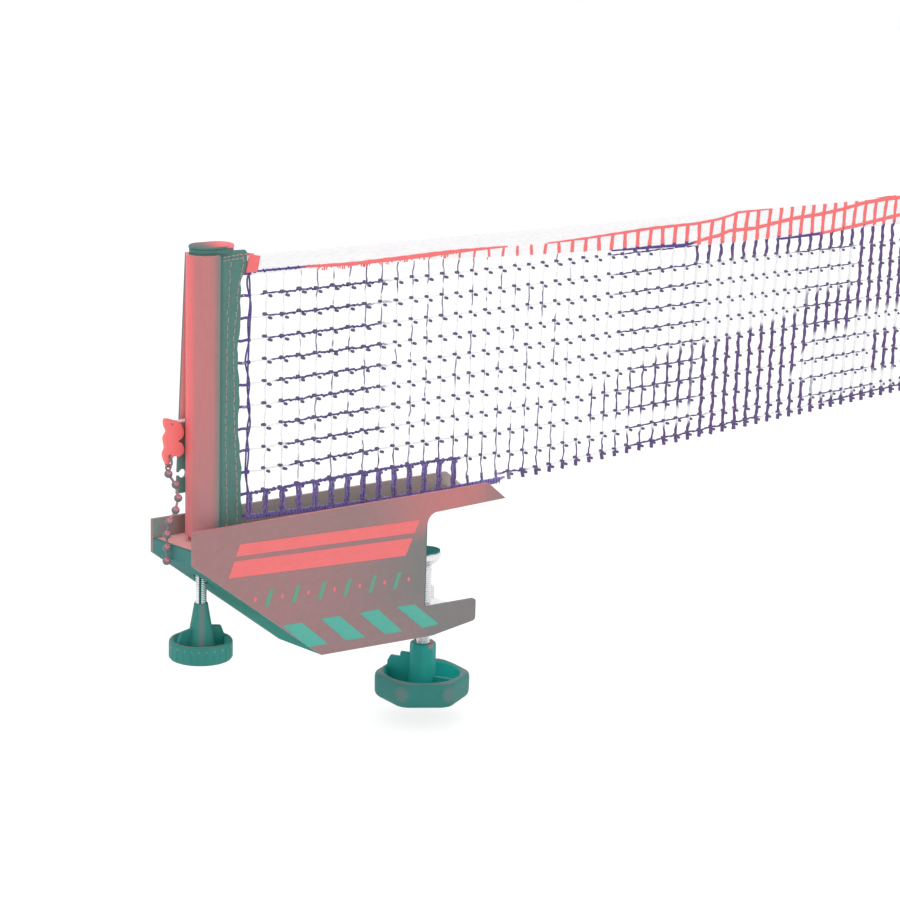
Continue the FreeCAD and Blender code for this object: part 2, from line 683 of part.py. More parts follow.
def make_thrust_plate():
    """Cross plate inside the post that the height screw pushes up."""
    reach = "(post_radius - post_wall)"
    disc = DOC.addObject("Part::Cylinder", "thrust_disc")
    bind(disc, Radius=f"{reach} - running_gap", Height="thrust_thickness")
    place(disc, x=POST_AXIS, z="thrust_height")
    keep = DOC.addObject("Part::Box", "thrust_keep")
    bind(keep, Length=f"{reach} + 2", Width=f"2 * {reach}", Height="thrust_thickness")
    place(keep, x=f"{POST_AXIS} - {reach}", y=f"-{reach}", z="thrust_height")
    trimmed = DOC.addObject("Part::Common", "thrust_trimmed")
    trimmed.Base = disc
    trimmed.Tool = keep
    neck = DOC.addObject("Part::Cylinder", "thrust_neck")
    bind(neck, Radius="lift_diameter / 2 - 1 + running_gap", Height="thrust_thickness")
    place(neck, x=LIFT_AXIS, z="thrust_height")
    plate = DOC.addObject("Part::Cut", "thrust_plate")
    plate.Base = trimmed
    plate.Tool = neck
    node("thrust_plate", plate)


def stadium(name, radius, height, x, z):
    """Upright block with two round ends, as long between centres as the cap."""
    left = DOC.addObject("Part::Cylinder", name + "_left")
    right = DOC.addObject("Part::Cylinder", name + "_right")
    middle = DOC.addObject("Part::Box", name + "_middle")
    bind(left, Radius=radius, Height=height)
    bind(right, Radius=radius, Height=height)
    bind(middle, Length="cap_length", Width=f"2 * {radius}", Height=height)
    place(left, x=x, z=z)
    place(right, x=f"{x} + cap_length", z=z)
    place(middle, x=x, y=f"-{radius}", z=z)
    whole = DOC.addObject("Part::MultiFuse", name)
    whole.Shapes = [left, middle, right]
    whole.Refine = True
    return whole


def make_cap():
    """Cap with a domed head: its plug fits the post, its skirt goes round the sleeve."""
    fit = "(post_radius - post_wall - running_gap)"
    cut = f"({POST_AXIS} - 1)"
    head = stadium("cap_head", fit, "cap_top - cap_skirt", POST_AXIS, "cap_skirt")
    hollow = DOC.addObject("Part::Box", "cap_hollow")
    bind(hollow, Length="2 * post_radius + cap_length", Width="2 * sleeve_half + 2 * soft_gap",
         Height="sleeve_top + soft_gap - cap_skirt + 1")
    place(hollow, x=cut, y="-sleeve_half - soft_gap", z="cap_skirt - 1")
    skirted = DOC.addObject("Part::Cut", "cap_skirted")
    skirted.Base = head
    skirted.Tool = hollow
    plug = DOC.addObject("Part::Cylinder", "cap_plug")
    bind(plug, Radius=fit, Height="cap_skirt - post_top + cap_depth")
    place(plug, x=POST_AXIS, z="post_top - cap_depth")
    keep = DOC.addObject("Part::Box", "cap_keep")
    bind(keep, Length="post_radius - 1", Width="2 * post_radius",
         Height="cap_skirt - post_top + cap_depth")
    place(keep, x=f"{POST_AXIS} - post_radius", y="-post_radius", z="post_top - cap_depth")
    trimmed = DOC.addObject("Part::Common", "cap_plug_trimmed")
    trimmed.Base = plug
    trimmed.Tool = keep
    dome = DOC.addObject("Part::Feature", "cap_dome")
    dome.Shape = dome_shape(size("post_radius") - size("post_wall") - size("running_gap"))
    dome.Placement = FreeCAD.Placement()
    cap = DOC.addObject("Part::MultiFuse", "post_cap")
    cap.Shapes = [skirted, trimmed, dome]
    cap.Refine = True
    node("post_cap", cap)


def dome_shape(radius):
    """Loft from the cap's rim to a smaller outline above it."""
    sections = []
    for inset, rise in ((0.0, 0.0), (1.2, 0.55), (3.6, 0.9), (6.2, 1.0)):
        reach = radius - inset
        length = size("cap_length")
        z = size("cap_top") + rise * size("cap_rise")
        start = FreeCAD.Vector(POST_X, reach, z)
        end = FreeCAD.Vector(POST_X, -reach, z)
        far_start = FreeCAD.Vector(POST_X + length, reach, z)
        far_end = FreeCAD.Vector(POST_X + length, -reach, z)
        left = Part.Arc(start, FreeCAD.Vector(POST_X - reach, 0, z), end).toShape()
        right = Part.Arc(far_end, FreeCAD.Vector(POST_X + length + reach, 0, z),
                         far_start).toShape()
        sections.append(Part.Wire([left, Part.makeLine(end, far_end), right,
                                   Part.makeLine(far_start, start)]))
    return Part.makeLoft(sections, True, True)


# Net

def make_rod():
    rod = DOC.addObject("Part::Cylinder", "net_rod")
    bind(rod, Radius="rod_diameter / 2", Height="rod_top - sleeve_foot - 1")
    place(rod, x=ROD_AXIS, z="sleeve_foot + 1")
    node("net_rod", rod)


ROD_AXIS = f"({POST_AXIS} + 8.2)"
CORD_HEIGHT = "(net_top - tape_wall - cord_diameter / 2 - running_gap)"


def make_sleeve():
    """Cloth sleeve: round about its rod inside the post, flat at its free edge."""
    body = new_body("net_sleeve")
    outline = [("3.5", "0.4 * sleeve_half"), ("4.9", "0.8 * sleeve_half"),
               ("8.2", "sleeve_half"), ("12", "0.88 * sleeve_half"), ("17", "2.4")]
    corners = [(f"{POST_AXIS} + {across}", f"-{half}") for across, half in outline]
    corners += [(SLEEVE_EDGE, "-1.5"), (SLEEVE_EDGE, "1.5")]
    corners += [(f"{POST_AXIS} + {across}", half) for across, half in reversed(outline)]
    sketch = polygon(body, "XY_Plane", "sleeve_section", corners)
    place(body, z="sleeve_foot")
    pad(body, sketch, "sleeve_top - sleeve_foot")
    bore = circles(body, "XY_Plane", "sleeve_bore",
                   [(ROD_AXIS, "0", "rod_diameter / 2 + running_gap")])
    pocket_through(body, bore)
    eyelet = circles(body, "YZ_Plane", "sleeve_eyelet",
                     [("0", f"{CORD_HEIGHT} - sleeve_foot", "cord_diameter / 2 + running_gap")])
    pocket_through(body, eyelet)
    node("net_sleeve", body)


def make_mesh():
    """The mesh as one holed face of rows and columns of gaps."""
    thickness = size("net_thickness")
    cord = size("net_cord")
    rows = int(size("row_count"))
    columns = int(size("column_count"))
    pitch_x = (size("net_length") - cord) / columns
    pitch_z = size("row_pitch")
    start = FreeCAD.Vector(NET_START, thickness / 2, size("net_foot"))
    top = size("net_top") - 2 * size("tape_wall") - size("cord_diameter") - size("soft_gap")

    def rectangle(x0, z0, x1, z1):
        corners = [FreeCAD.Vector(x0, start.y, z0), FreeCAD.Vector(x1, start.y, z0),
                   FreeCAD.Vector(x1, start.y, z1), FreeCAD.Vector(x0, start.y, z1)]
        return Part.makePolygon(corners + corners[:1])

    wires = [rectangle(start.x, start.z, start.x + size("net_length"), top)]
    for column in range(columns):
        for row in range(rows):
            x0 = start.x + cord + column * pitch_x
            z0 = start.z + cord + row * pitch_z
            wires.append(rectangle(x0, z0, x0 + pitch_x - cord, z0 + pitch_z - cord))
    mesh = DOC.addObject("Part::Feature", "net_mesh")
    mesh.Shape = Part.makeFace(wires, "Part::FaceMakerBullseye").extrude(FreeCAD.Vector(0, -thickness, 0))
    mesh.Placement = FreeCAD.Placement()
    node("net_mesh", mesh)


def make_tape():
    """White tape folded over the upper edge of the mesh."""
    inner = "(cord_diameter / 2 + running_gap)"
    outer = "(cord_diameter / 2 + running_gap + tape_wall)"
    body = new_body("top_tape")
    sketch = polygon(body, "YZ_Plane", "tape_profile", [
        (f"-{outer}", "net_top - tape_height"), (f"-{inner}", "net_top - tape_height"),
        (f"-{inner}", "net_top - tape_wall"), (inner, "net_top - tape_wall"),
        (inner, "net_top - tape_height"), (outer, "net_top - tape_height"),
        (outer, "net_top"), (f"-{outer}", "net_top")])
    pad(body, sketch, "net_length")
    place(body, x=SLEEVE_EDGE)
    node("top_tape", body)


def make_band():
    """Reinforcing band on the lower edge, cut off at a slant."""
    body = new_body("corner_band")
    sketch = polygon(body, "XZ_Plane", "band_outline", [
        (f"{SLEEVE_EDGE} + soft_gap", "net_foot - 1.4"),
        (f"{SLEEVE_EDGE} + band_length - band_height", "net_foot - 1.4 - band_fall"),
        (f"{SLEEVE_EDGE} + band_length", "net_foot - 1.4 - band_fall + band_height * 0.6"),
        (f"{SLEEVE_EDGE} + band_length - 0.9 * band_height",
         "net_foot - 1.4 - band_fall + band_height"),
        (f"{SLEEVE_EDGE} + soft_gap", "net_foot - 1.4 + band_height")])
    pad(body, sketch, "0.8")
    place(body, y="-net_thickness / 2")
    node("corner_band", body)


def make_hem():
    hem = DOC.addObject("Part::Box", "far_hem")
    bind(hem, Length="hem_width", Width="hem_thickness", Height="net_top - net_foot")
    place(hem, x=f"{SLEEVE_EDGE} + net_length", y="-hem_thickness / 2", z="net_foot")
    node("far_hem", hem)


# Cord clip and bead chain

CLIP_Y = 6.0
KNOT = FreeCAD.Vector(FACE_X - 6.7, CLIP_Y, 68.4)
EYE = FreeCAD.Vector(FACE_X - 8.5, CLIP_Y, 51.0)
CLIP_SWING = 35.0


def across_net(radius, length, centre):
    """Cylinder along Y, even about its centre."""
    start = centre - FreeCAD.Vector(0, length / 2, 0)
    return Part.makeCylinder(radius, length, start, FreeCAD.Vector(0, 1, 0))


def make_clip():
    """Flat clip with two round lobes and a waist; the knot of the cord turns in its top."""
    thick = size("clip_thickness")
    left = FACE_X - 11.4
    stem = Part.makeBox(8.0, thick, 19.9, FreeCAD.Vector(left, CLIP_Y - thick / 2, 50.6))
    upper = across_net(6.0, thick, FreeCAD.Vector(FACE_X - 5.6, CLIP_Y, 63.0))
    lower = across_net(5.0, thick, FreeCAD.Vector(FACE_X - 4.6, CLIP_Y, 54.6))
    lug = across_net(2.9, thick, EYE)
    shape = stem.fuse([upper, lower, lug]).removeSplitter()
    clear = size("cord_diameter") / 2 + size("running_gap")
    turn = math.radians(CLIP_SWING)
    far = 14.0
    slot = [(0, -clear), (far, -clear), (far * math.cos(turn), far * math.sin(turn)),
            (far * math.cos(turn) - clear * math.sin(turn),
             far * math.sin(turn) + clear * math.cos(turn)),
            (-clear * math.sin(turn), clear * math.cos(turn))]
    outline = [KNOT + FreeCAD.Vector(x, -thick, z) for x, z in slot]
    mouth = Part.Face(Part.makePolygon(outline + outline[:1]))
    cuts = [mouth.extrude(FreeCAD.Vector(0, 2 * thick, 0)),
            across_net(size("knot_diameter") / 2 + size("running_gap"), thick, KNOT),
            across_net(2.2, thick, FreeCAD.Vector(left - 0.6, CLIP_Y, 64.2)),
            across_net(1.3, thick, EYE)]
    clip = DOC.addObject("Part::Feature", "cord_clip")
    clip.Shape = shape.cut(cuts)
    clip.Placement = FreeCAD.Placement()
    node("cord_clip", clip)


def rounded_path(points):
    """Straight runs joined by arcs that touch both of them."""
    edges = []
    start = points[0]
    for before, corner, after in zip(points, points[1:], points[2:]):
        inward = (corner - before).normalize()
        onward = (after - corner).normalize()
        half_turn = inward.getAngle(onward) / 2
        shorter = min((corner - before).Length, (after - corner).Length)
        radius = min(0.45 * shorter / math.tan(half_turn), size("cord_bend"))
        reach = radius * math.tan(half_turn)
        first = corner - inward * reach
        last = corner + onward * reach
        bisector = (onward - inward).normalize()
        middle = corner + bisector * (radius / math.cos(half_turn) - radius)
        print(f"cord bend: radius {radius:.2f} mm")
        edges.append(Part.makeLine(start, first))
        edges.append(Part.Arc(first, middle, last).toShape())
        start = last
    edges.append(Part.makeLine(start, points[-1]))
    return Part.Wire(edges)


def make_cord():
    """Tension cord, whole: from its knot in the clip up the post and along the net."""
    top = (size("net_top") - size("tape_wall") - size("cord_diameter") / 2
           - size("running_gap"))
    points = [KNOT, FreeCAD.Vector(POST_X - 1.8, CLIP_Y, KNOT.z),
              FreeCAD.Vector(POST_X + 0.8, 0, top),
              FreeCAD.Vector(NET_START + size("net_length"), 0, top)]
    path = rounded_path(points)
    print(f"tension cord: {path.Length:.0f} mm")
    ring = Part.Wire(Part.makeCircle(size("cord_diameter") / 2, KNOT, FreeCAD.Vector(1, 0, 0)))
    knot = across_net(size("knot_diameter") / 2, size("clip_thickness"), KNOT)
    cord = DOC.addObject("Part::Feature", "tension_cord")
    cord.Shape = path.makePipeShell([ring], True, False).fuse(knot)
    cord.Placement = FreeCAD.Placement()
    node("tension_cord", cord)


RING_RADIUS = 2.9
LOOP_RADIUS = 1.5
# Beads as steps from the eye of the clip: along the net, across it and up.
CHAIN_ROUTE = [(0.0, 0.0, -9.6), (3.4, -1.6, -15.4), (3.2, -5.0, -24.9), (-1.6, -6.0, -30.0),
               (-5.2, -6.0, -35.2), (-5.4, -6.0, -47.4), (-5.5, -6.0, -56.2)]


def make_chain_ring():
    """Wire ring through the eye of the clip."""
    ring = DOC.addObject("Part::Torus", "chain_ring")
    bind(ring, Radius1=str(RING_RADIUS), Radius2="ring_wire / 2")
    ring.Placement = FreeCAD.Placement(
        EYE - FreeCAD.Vector(0, 0, RING_RADIUS), FreeCAD.Rotation(FreeCAD.Vector(0, 1, 0), 90))
    node("chain_ring", ring)


def make_chain():
    """Hollow beads strung on short wires, hung on the ring by a small loop."""
    route = [EYE + FreeCAD.Vector(*step) for step in CHAIN_ROUTE]
    spans = [(b - a).Length for a, b in zip(route, route[1:])]
    beads = []
    travelled = 0.0
    while travelled <= sum(spans):
        rest = travelled
        for start, end, span in zip(route, route[1:], spans):
            if rest <= span:
                beads.append(start + (end - start) * (rest / span))
                break
            rest -= span
        travelled += size("bead_pitch")
    wire = size("link_diameter") / 2
    loop_centre = EYE - FreeCAD.Vector(0, 0, 2 * RING_RADIUS + 0.3)
    pieces = [Part.makeTorus(LOOP_RADIUS, wire * 0.8, loop_centre, FreeCAD.Vector(0, 1, 0))]
    pieces += [Part.makeSphere(size("bead_diameter") / 2, bead) for bead in beads]
    for start, end in zip(beads, beads[1:]):
        step = end - start
        pieces.append(Part.makeCylinder(wire, step.Length, start, step))
    chain = DOC.addObject("Part::Feature", "bead_chain")
    chain.Shape = pieces[0].fuse(pieces[1:])
    chain.Placement = FreeCAD.Placement()
    node("bead_chain", chain)


def build():
    make_cheek("front_cheek", "-(clamp_width / 2 - cheek_thickness)")
    make_cheek("rear_cheek", "clamp_width / 2")
    make_end_strip()
    make_floor()
    make_guide()
    make_height_nut()
    make_jaw_angle()
    make_liners()
    make_lower_plate()
    make_clamp_nut()
    make_foot()
    make_clamp_screw()
    make_clamp_knob()
    make_height_screw()
    make_height_knob()
    make_post()
    make_back_plate()
    make_thrust_plate()
    make_cap()
    make_rod()
    make_sleeve()
    make_mesh()
    make_tape()
    make_band()
    make_hem()
    make_clip()
    make_cord()
    make_chain_ring()
    make_chain()
    DOC.recompute()


def check():
    for thing in DOC.Objects:
        if "Invalid" in thing.State or "Error" in thing.State:
            raise RuntimeError(f"{thing.Name} failed: {thing.State}")
    for label, thing in NODES.items():
        if thing.Shape.isNull() or not thing.Shape.isValid():
            raise RuntimeError(f"{label} has no valid shape")
        if not thing.Shape.Solids:
            raise RuntimeError(f"{label} has no solid")


def write():
    os.makedirs("parts", exist_ok=True)
    for label, thing in NODES.items():
        thing.Shape.exportStep(f"parts/{label}.step")
        box = thing.Shape.BoundBox
        print(f"{label:18s} solids {len(thing.Shape.Solids)} volume {thing.Shape.Volume:9.1f}"
              f"  x {box.XMin:7.1f} {box.XMax:7.1f}  y {box.YMin:6.1f} {box.YMax:6.1f}"
              f"  z {box.ZMin:6.1f} {box.ZMax:6.1f}")


build()
check()
write()
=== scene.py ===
import random
from math import atan2, cos, exp, hypot, pi, radians, sin, sqrt, tan

import bmesh
import bpy
from mathutils import Matrix, Vector


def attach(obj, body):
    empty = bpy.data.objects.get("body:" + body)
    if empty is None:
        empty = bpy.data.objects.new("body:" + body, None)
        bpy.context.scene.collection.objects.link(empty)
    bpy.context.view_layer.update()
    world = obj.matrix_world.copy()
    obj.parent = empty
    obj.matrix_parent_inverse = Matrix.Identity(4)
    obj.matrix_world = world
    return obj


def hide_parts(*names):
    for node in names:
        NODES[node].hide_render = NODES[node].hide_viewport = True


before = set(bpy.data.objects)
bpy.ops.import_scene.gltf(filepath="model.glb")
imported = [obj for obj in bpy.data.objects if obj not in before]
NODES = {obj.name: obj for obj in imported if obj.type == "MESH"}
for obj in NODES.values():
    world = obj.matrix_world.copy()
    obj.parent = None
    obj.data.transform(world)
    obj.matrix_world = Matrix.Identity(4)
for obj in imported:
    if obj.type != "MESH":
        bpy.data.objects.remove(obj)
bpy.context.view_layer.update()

# Looks of the table tennis net clamp. Sizes in this file are millimetres in the CAD frame,
# turned into metres where a mesh is made. Colours are as displayed, 0 to 255.

random.seed(7)

FRONT_FACE = -18.5
CLAMP_AXIS = (0, 0)
LIFT_X = -160.3
LIFT_AXIS = (LIFT_X, 0)
POST_X = -159.15
NET_TOP = 152.5
EDGE_CORD_X = -130.2
VIEW_RIGHT, VIEW_BACK = 0.7232, 0.6907
CORNER_REACH = 27.4
FIRST_ROW, ROW_PITCH = 13.7, 11.74


# Small tools

def light(colour):
    """A displayed colour as linear light."""
    shares = [value / 255 for value in colour]
    return (*[s / 12.92 if s <= 0.04045 else ((s + 0.055) / 1.055) ** 2.4 for s in shares], 1)


def between(value, points):
    """Value of a polyline of (position, value) pairs, in order of position."""
    if value <= points[0][0]:
        return points[0][1]
    for (a, va), (b, vb) in zip(points, points[1:]):
        if value <= b:
            return va + (vb - va) * (value - a) / (b - a)
    return points[-1][1]


def ease(value, low, high):
    """Smooth step from 0 at low to 1 at high."""
    t = min(max((value - low) / (high - low), 0), 1)
    return t * t * (3 - 2 * t)


def polyline(points):
    """A polyline's value as a function of the position."""
    return lambda value: between(value, points)


def evenly(start, end, steps):
    """Equally spaced values from start to end."""
    return [start + (end - start) * i / steps for i in range(steps + 1)]


def angles(count):
    """Equal steps round a circle."""
    return [2 * pi * i / count for i in range(count)]


def shifted(a, b, share):
    """Point at a share of the way from a to b."""
    return tuple(u + (v - u) * share for u, v in zip(a, b))


def mirrored(points, middle=()):
    """The points, those in the middle, and back again on the other side of the net."""
    return [*points, *middle] + [(x, -y, z) for x, y, z in reversed(points)]


class Paint:
    """A node material, written a step at a time. x, y and z are in millimetres."""

    def __init__(self, name):
        self.material = bpy.data.materials.new(name)
        self.material.use_nodes = True
        self.tree = self.material.node_tree
        self.shader = self.tree.nodes["Principled BSDF"]
        where = self.new("TexCoord").outputs
        self.point = self.out("VectorMath", {0: where["Object"], "Scale": 1000}, operation="SCALE")
        self.x, self.y, self.z = self.new("SeparateXYZ", {0: self.point}).outputs
        self.nx, self.ny, self.nz = self.new("SeparateXYZ", {0: where["Normal"]}).outputs

    def new(self, kind, inputs=(), **settings):
        node = self.tree.nodes.new("ShaderNode" + kind)
        for name, value in settings.items():
            setattr(node, name, value)
        for key, value in dict(inputs).items():
            self.put(node.inputs[key], value)
        return node

    def out(self, kind, inputs, **settings):
        """First output of a new node."""
        return self.new(kind, inputs, **settings).outputs[0]

    def put(self, socket, value):
        if isinstance(value, bpy.types.NodeSocket):
            self.tree.links.new(value, socket)
        else:
            socket.default_value = light(value) if socket.type == "RGBA" else value

    def calc(self, operation, a, b=0, clamp=False):
        return self.out("Math", {0: a, 1: b}, operation=operation, use_clamp=clamp)

    def times(self, total, *others):
        for other in others:
            total = self.calc("MULTIPLY", total, other)
        return total

    def plus(self, total, *others):
        for other in others:
            total = self.calc("ADD", total, other)
        return total

    def minus(self, a, b):
        return self.calc("SUBTRACT", a, b)

    def across(self, centre):
        """Distance from an upright axis, to the right as the photograph looks at the object."""
        return self.minus(self.times(self.minus(self.x, centre), VIEW_RIGHT), self.times(self.y, VIEW_BACK))

    def turned_right(self):
        """How far a face turns to the right and back, as the photograph looks at it."""
        return self.plus(self.times(self.nx, 0.69), self.times(self.ny, 0.72))

    def distance(self, axis):
        """Distance from an upright axis."""
        squares = [self.times(d, d) for d in (self.minus(self.x, axis[0]), self.minus(self.y, axis[1]))]
        return self.calc("SQRT", self.plus(*squares))

    def span(self, value, low, high, start=0, end=1, kind="LINEAR"):
        """The value's place between low and high, as a value between start and end."""
        return self.out("MapRange", {"Value": value, "From Min": low, "From Max": high, "To Min": start,
            "To Max": end}, interpolation_type=kind)

    def ease(self, value, low, high, start=0, end=1):
        return self.span(value, low, high, start, end, "SMOOTHSTEP")

    def fall(self, value, low, high):
        return self.ease(value, low, high, 1, 0)

    def within(self, value, low, high, soft):
        """1 between low and high, 0 outside, with soft edges."""
        return self.times(self.ease(value, low - soft, low + soft),
            self.fall(value, high - soft, high + soft))

    def mix(self, share, a, b):
        return self.new("Mix", {0: share, 6: a, 7: b}, data_type="RGBA").outputs[2]

    def mottled(self, colour, scale, detail, dark):
        """The colour, darker in places."""
        return self.mix(self.noise(scale, detail), colour, tuple(c * dark for c in colour))

    def ramp(self, value, stops):
        """Colours at positions along a value."""
        low, high = stops[0][0], stops[-1][0]
        node = self.new("ValToRGB", {0: self.span(value, low, high)})
        marks = node.color_ramp.elements
        while len(marks) < len(stops):
            marks.new(0.5)
        for mark, (position, colour) in zip(marks, stops):
            mark.position = (position - low) / (high - low)
            mark.color = light(colour)
        return node.outputs[0]

    def stretched(self, *scales):
        return self.out("VectorMath", {0: self.point, 1: scales}, operation="MULTIPLY")

    def noise(self, scale, detail=3, vector=None):
        return self.out("TexNoise", {"Vector": vector or self.point, "Scale": scale, "Detail": detail})

    def worn(self, colour, share, amount):
        """The colour, a little darker and brighter by a 0 to 1 value."""
        level = self.span(share, 0.3, 0.7, 1 - 0.14 * amount, 1 + 0.12 * amount)
        return self.out("VectorMath", {0: colour, "Scale": level}, operation="SCALE")

    def bump(self, height, strength, distance=0.0003):
        relief = {"Strength": strength, "Distance": distance, "Height": height}
        self.put(self.shader.inputs["Normal"], self.out("Bump", relief))

    def done(self, colour, rough, specular=0.18, tint=(1, 0.25, 0.25), metallic=0, coat=0, sheen=0):
        """The material, with a roughness from rough's first to its second number, at its third's scale."""
        low, high, scale = rough
        values = {"Base Color": colour, "Roughness": self.span(self.noise(scale, 4), 0.3, 0.7, low, high),
            "Specular IOR Level": specular, "Metallic": metallic, "Coat Weight": coat, "Sheen Weight": sheen}
        for name, value in values.items():
            self.put(self.shader.inputs[name], value)
        self.shader.inputs["Specular Tint"].default_value = (*tint, 1)
        return self.material


def rolled(p, colour, top_highlight=(206, 125, 126), reach=None, gloss=0.18, rough=(0.34, 0.52)):
    """Rolled and painted steel: fine grain along the sheet, scuffs, and a painted highlight on faces that
    turn up, such as the top cut edges.
    """
    grain = p.noise(1, 3, p.stretched(0.12, 2.2, 1.6))
    colour = p.worn(p.worn(colour, grain, 0.18), p.noise(0.22, 5), 0.22)
    # Painted highlight on faces that turn up.
    if top_highlight:
        share = p.ease(p.nz, 0.45, 0.8)
        if reach is not None:
            share = p.times(share, reach)
        colour = p.mix(share, colour, top_highlight)
    p.bump(grain, 0.12, 0.00015)
    return p.done(colour, (*rough, 0.3), specular=gloss)


# Materials of the clamp and the post

def front_sheet():
    p = Paint("painted_front")
    # Painted light and shade: paler at the open end, darker towards the throat, drawn to mid grey towards
    # the foot.
    colour = p.ramp(p.x, [(-179, (164, 125, 127)), (-150, (161, 126, 127)), (-110, (160, 126, 127)),
        (-75, (154, 126, 127)), (-45, (140, 127, 127)), (-24, (127, 128, 127))])
    colour = p.mix(p.ease(p.z, -66, -38, 0.7, 0), colour, (152, 127, 128))
    # Painted highlight along the upper arm.
    arm = p.times(p.ease(p.z, -18, -1), p.ease(p.x, -80, -16))
    tone = p.ramp(p.x, [(-24, (184, 126, 127)), (4, (193, 126, 126)), (22, (186, 126, 126)),
        (36, (162, 127, 126)), (45, (148, 127, 126))])
    colour = p.mix(arm, colour, tone)
    # Painted shade on the lower jaw.
    jaw = p.times(p.ease(p.x, -22, -12), p.fall(p.z, -46, -36))
    colour = p.mix(jaw, colour, (128, 128, 127))
    lip = p.times(p.ease(p.x, -17.3, -17), p.within(p.z, -53.5, -6, 0.6))
    colour = p.mix(lip, colour, (72, 120, 112))
    return rolled(p, colour, reach=p.ease(p.z, -30, -20))


def rear_sheet():
    p = Paint("painted_rear")
    # Painted shade: darker from the open end towards the jaw.
    colour = p.ramp(p.x, [(-179, (154, 127, 126)), (-150, (150, 127, 126)), (-130, (138, 129, 127)),
        (0, (134, 129, 126)), (45, (128, 129, 126))])
    # Painted light on the inner face, paler where the front cheek shades it.
    facing = p.fall(p.ny, -0.6, -0.4)
    inner = p.times(facing, p.ease(p.x, -160, -135))
    colour = p.mix(inner, colour, (186, 176, 166))
    # Painted light on the inner face at the open end, where it lies in shade.
    left = p.ramp(p.x, [(-181, (128, 168, 162)), (-166, (164, 152, 150))])
    colour = p.mix(p.times(facing, p.fall(p.x, -166, -160)), colour, left)
    # Painted highlight: the inner face of the lower arm's tip near white.
    tip = p.times(p.ease(p.x, 20, 21.5), p.fall(p.z, -53.5, -52.5))
    colour = p.mix(p.times(facing, tip), colour, (252, 252, 252))
    return rolled(p, colour, (150, 130, 128))


def end_sheet():
    p = Paint("end_sheet")
    colour = p.ramp(p.z, [(-72, (48, 137, 126)), (-20, (58, 136, 124)), (-12, (74, 130, 126)),
        (16, (80, 130, 127))])
    return rolled(p, colour, (214, 132, 132), p.ease(p.z, 13, 15), gloss=0.04, rough=(0.62, 0.8))


def floor_sheet():
    """Floor under the post, with painted light: paler towards the post, where the post's shade falls."""
    p = Paint("floor_sheet")
    colour = p.ramp(p.x, [(-182, (206, 160, 158)), (-174, (240, 172, 170)), (-167, (255, 190, 188))])
    return rolled(p, colour, top_highlight=None)


def jaw_sheet():
    p = Paint("jaw_sheet")
    return rolled(p, p.mottled((124, 128, 127), 0.05, 2, 0.94), (150, 127, 127))


def post_sheet():
    """Drawn channel with painted light and shade: a highlight down its outer side, mid red in front, grey
    shade towards its open edge.
    """
    p = Paint("post_sheet")
    colour = p.ramp(p.across(-159.2), [(-9.4, (150, 126, 128)), (-8.9, (222, 124, 127)),
        (-7.6, (240, 118, 121)), (-5.4, (228, 122, 124)), (-4, (202, 124, 125)), (-1.5, (191, 125, 126)),
        (3.4, (192, 126, 126)), (5.8, (184, 127, 126)), (7.4, (155, 126, 124)), (8.9, (132, 138, 133))])
    colour = p.mix(p.ease(p.z, 12, 84, 0.28, 0), colour, (146, 136, 140))
    # Painted shade inside the channel.
    inner = p.times(p.ease(p.x, -158, -155.9), p.calc("GREATER_THAN", p.calc("ABSOLUTE", p.y), 7.6))
    colour = p.mix(p.times(inner, 0.4), colour, (104, 131, 128))
    draw = p.noise(1, 3, p.stretched(1.3, 1.3, 0.05))
    colour = p.worn(p.worn(colour, draw, 0.2), p.noise(0.16, 5), 0.14)
    # Painted highlight on faces that turn up.
    colour = p.mix(p.ease(p.nz, 0.5, 0.8), colour, (238, 170, 168))
    p.bump(draw, 0.1, 0.00015)
    return p.done(colour, (0.3, 0.46, 0.25))


def back_sheet():
    p = Paint("back_sheet")
    # Painted light and shade: a painted highlight over its upper part, darker and greener low down, where it
    # lies in shade.
    colour = p.ramp(p.z, [(29, (112, 168, 157)), (50, (118, 164, 154)), (64, (160, 126, 127)),
        (78, (232, 122, 126)), (154, (248, 122, 126))])
    # Painted light on its front face, paler where the post shades it.
    front = p.times(p.fall(p.ny, -0.6, -0.4), p.ease(p.z, 58, 74))
    colour = p.mix(front, colour, (255, 176, 172))
    colour = p.mix(p.fall(p.nx, -0.75, -0.55), colour, (126, 119, 124))
    return rolled(p, colour, (222, 150, 150))


def turned_steel(name, pitch):
    """Turned steel with fine rings round its axis."""
    p = Paint(name)
    rings = p.new("TexWave", {"Vector": p.point, "Scale": pitch, "Distortion": 0.3},
        bands_direction="Z").outputs[1]
    tone = p.worn(p.mottled((134, 127, 127), 0.2, 2, 0.86), p.noise(0.5, 4), 0.5)
    p.bump(rings, 0.15, 0.0001)
    return p.done(tone, (0.22, 0.42, 0.8), specular=0.3)


def plated_steel(name, centre=None):
    """Bright plated steel: it mirrors the pale room, with a painted shade line down the middle of its front
    when a centre is given.
    """
    p = Paint(name)
    smear = p.noise(0.5, 4)
    tone = p.worn(p.mix(p.noise(0.3, 2), (247, 247, 249), (232, 232, 236)), smear, 0.3)
    if centre is not None:
        shade_line = p.times(p.within(p.across(centre), -0.8, 0.5, 0.25), p.fall(p.turned_right(), -0.3, 0))
        tone = p.mix(shade_line, tone, (44, 120, 114))
    p.bump(smear, 0.1, 0.0001)
    return p.done(tone, (0.16, 0.3, 0.8), specular=0.5, tint=(1, 1, 1), metallic=0.9)


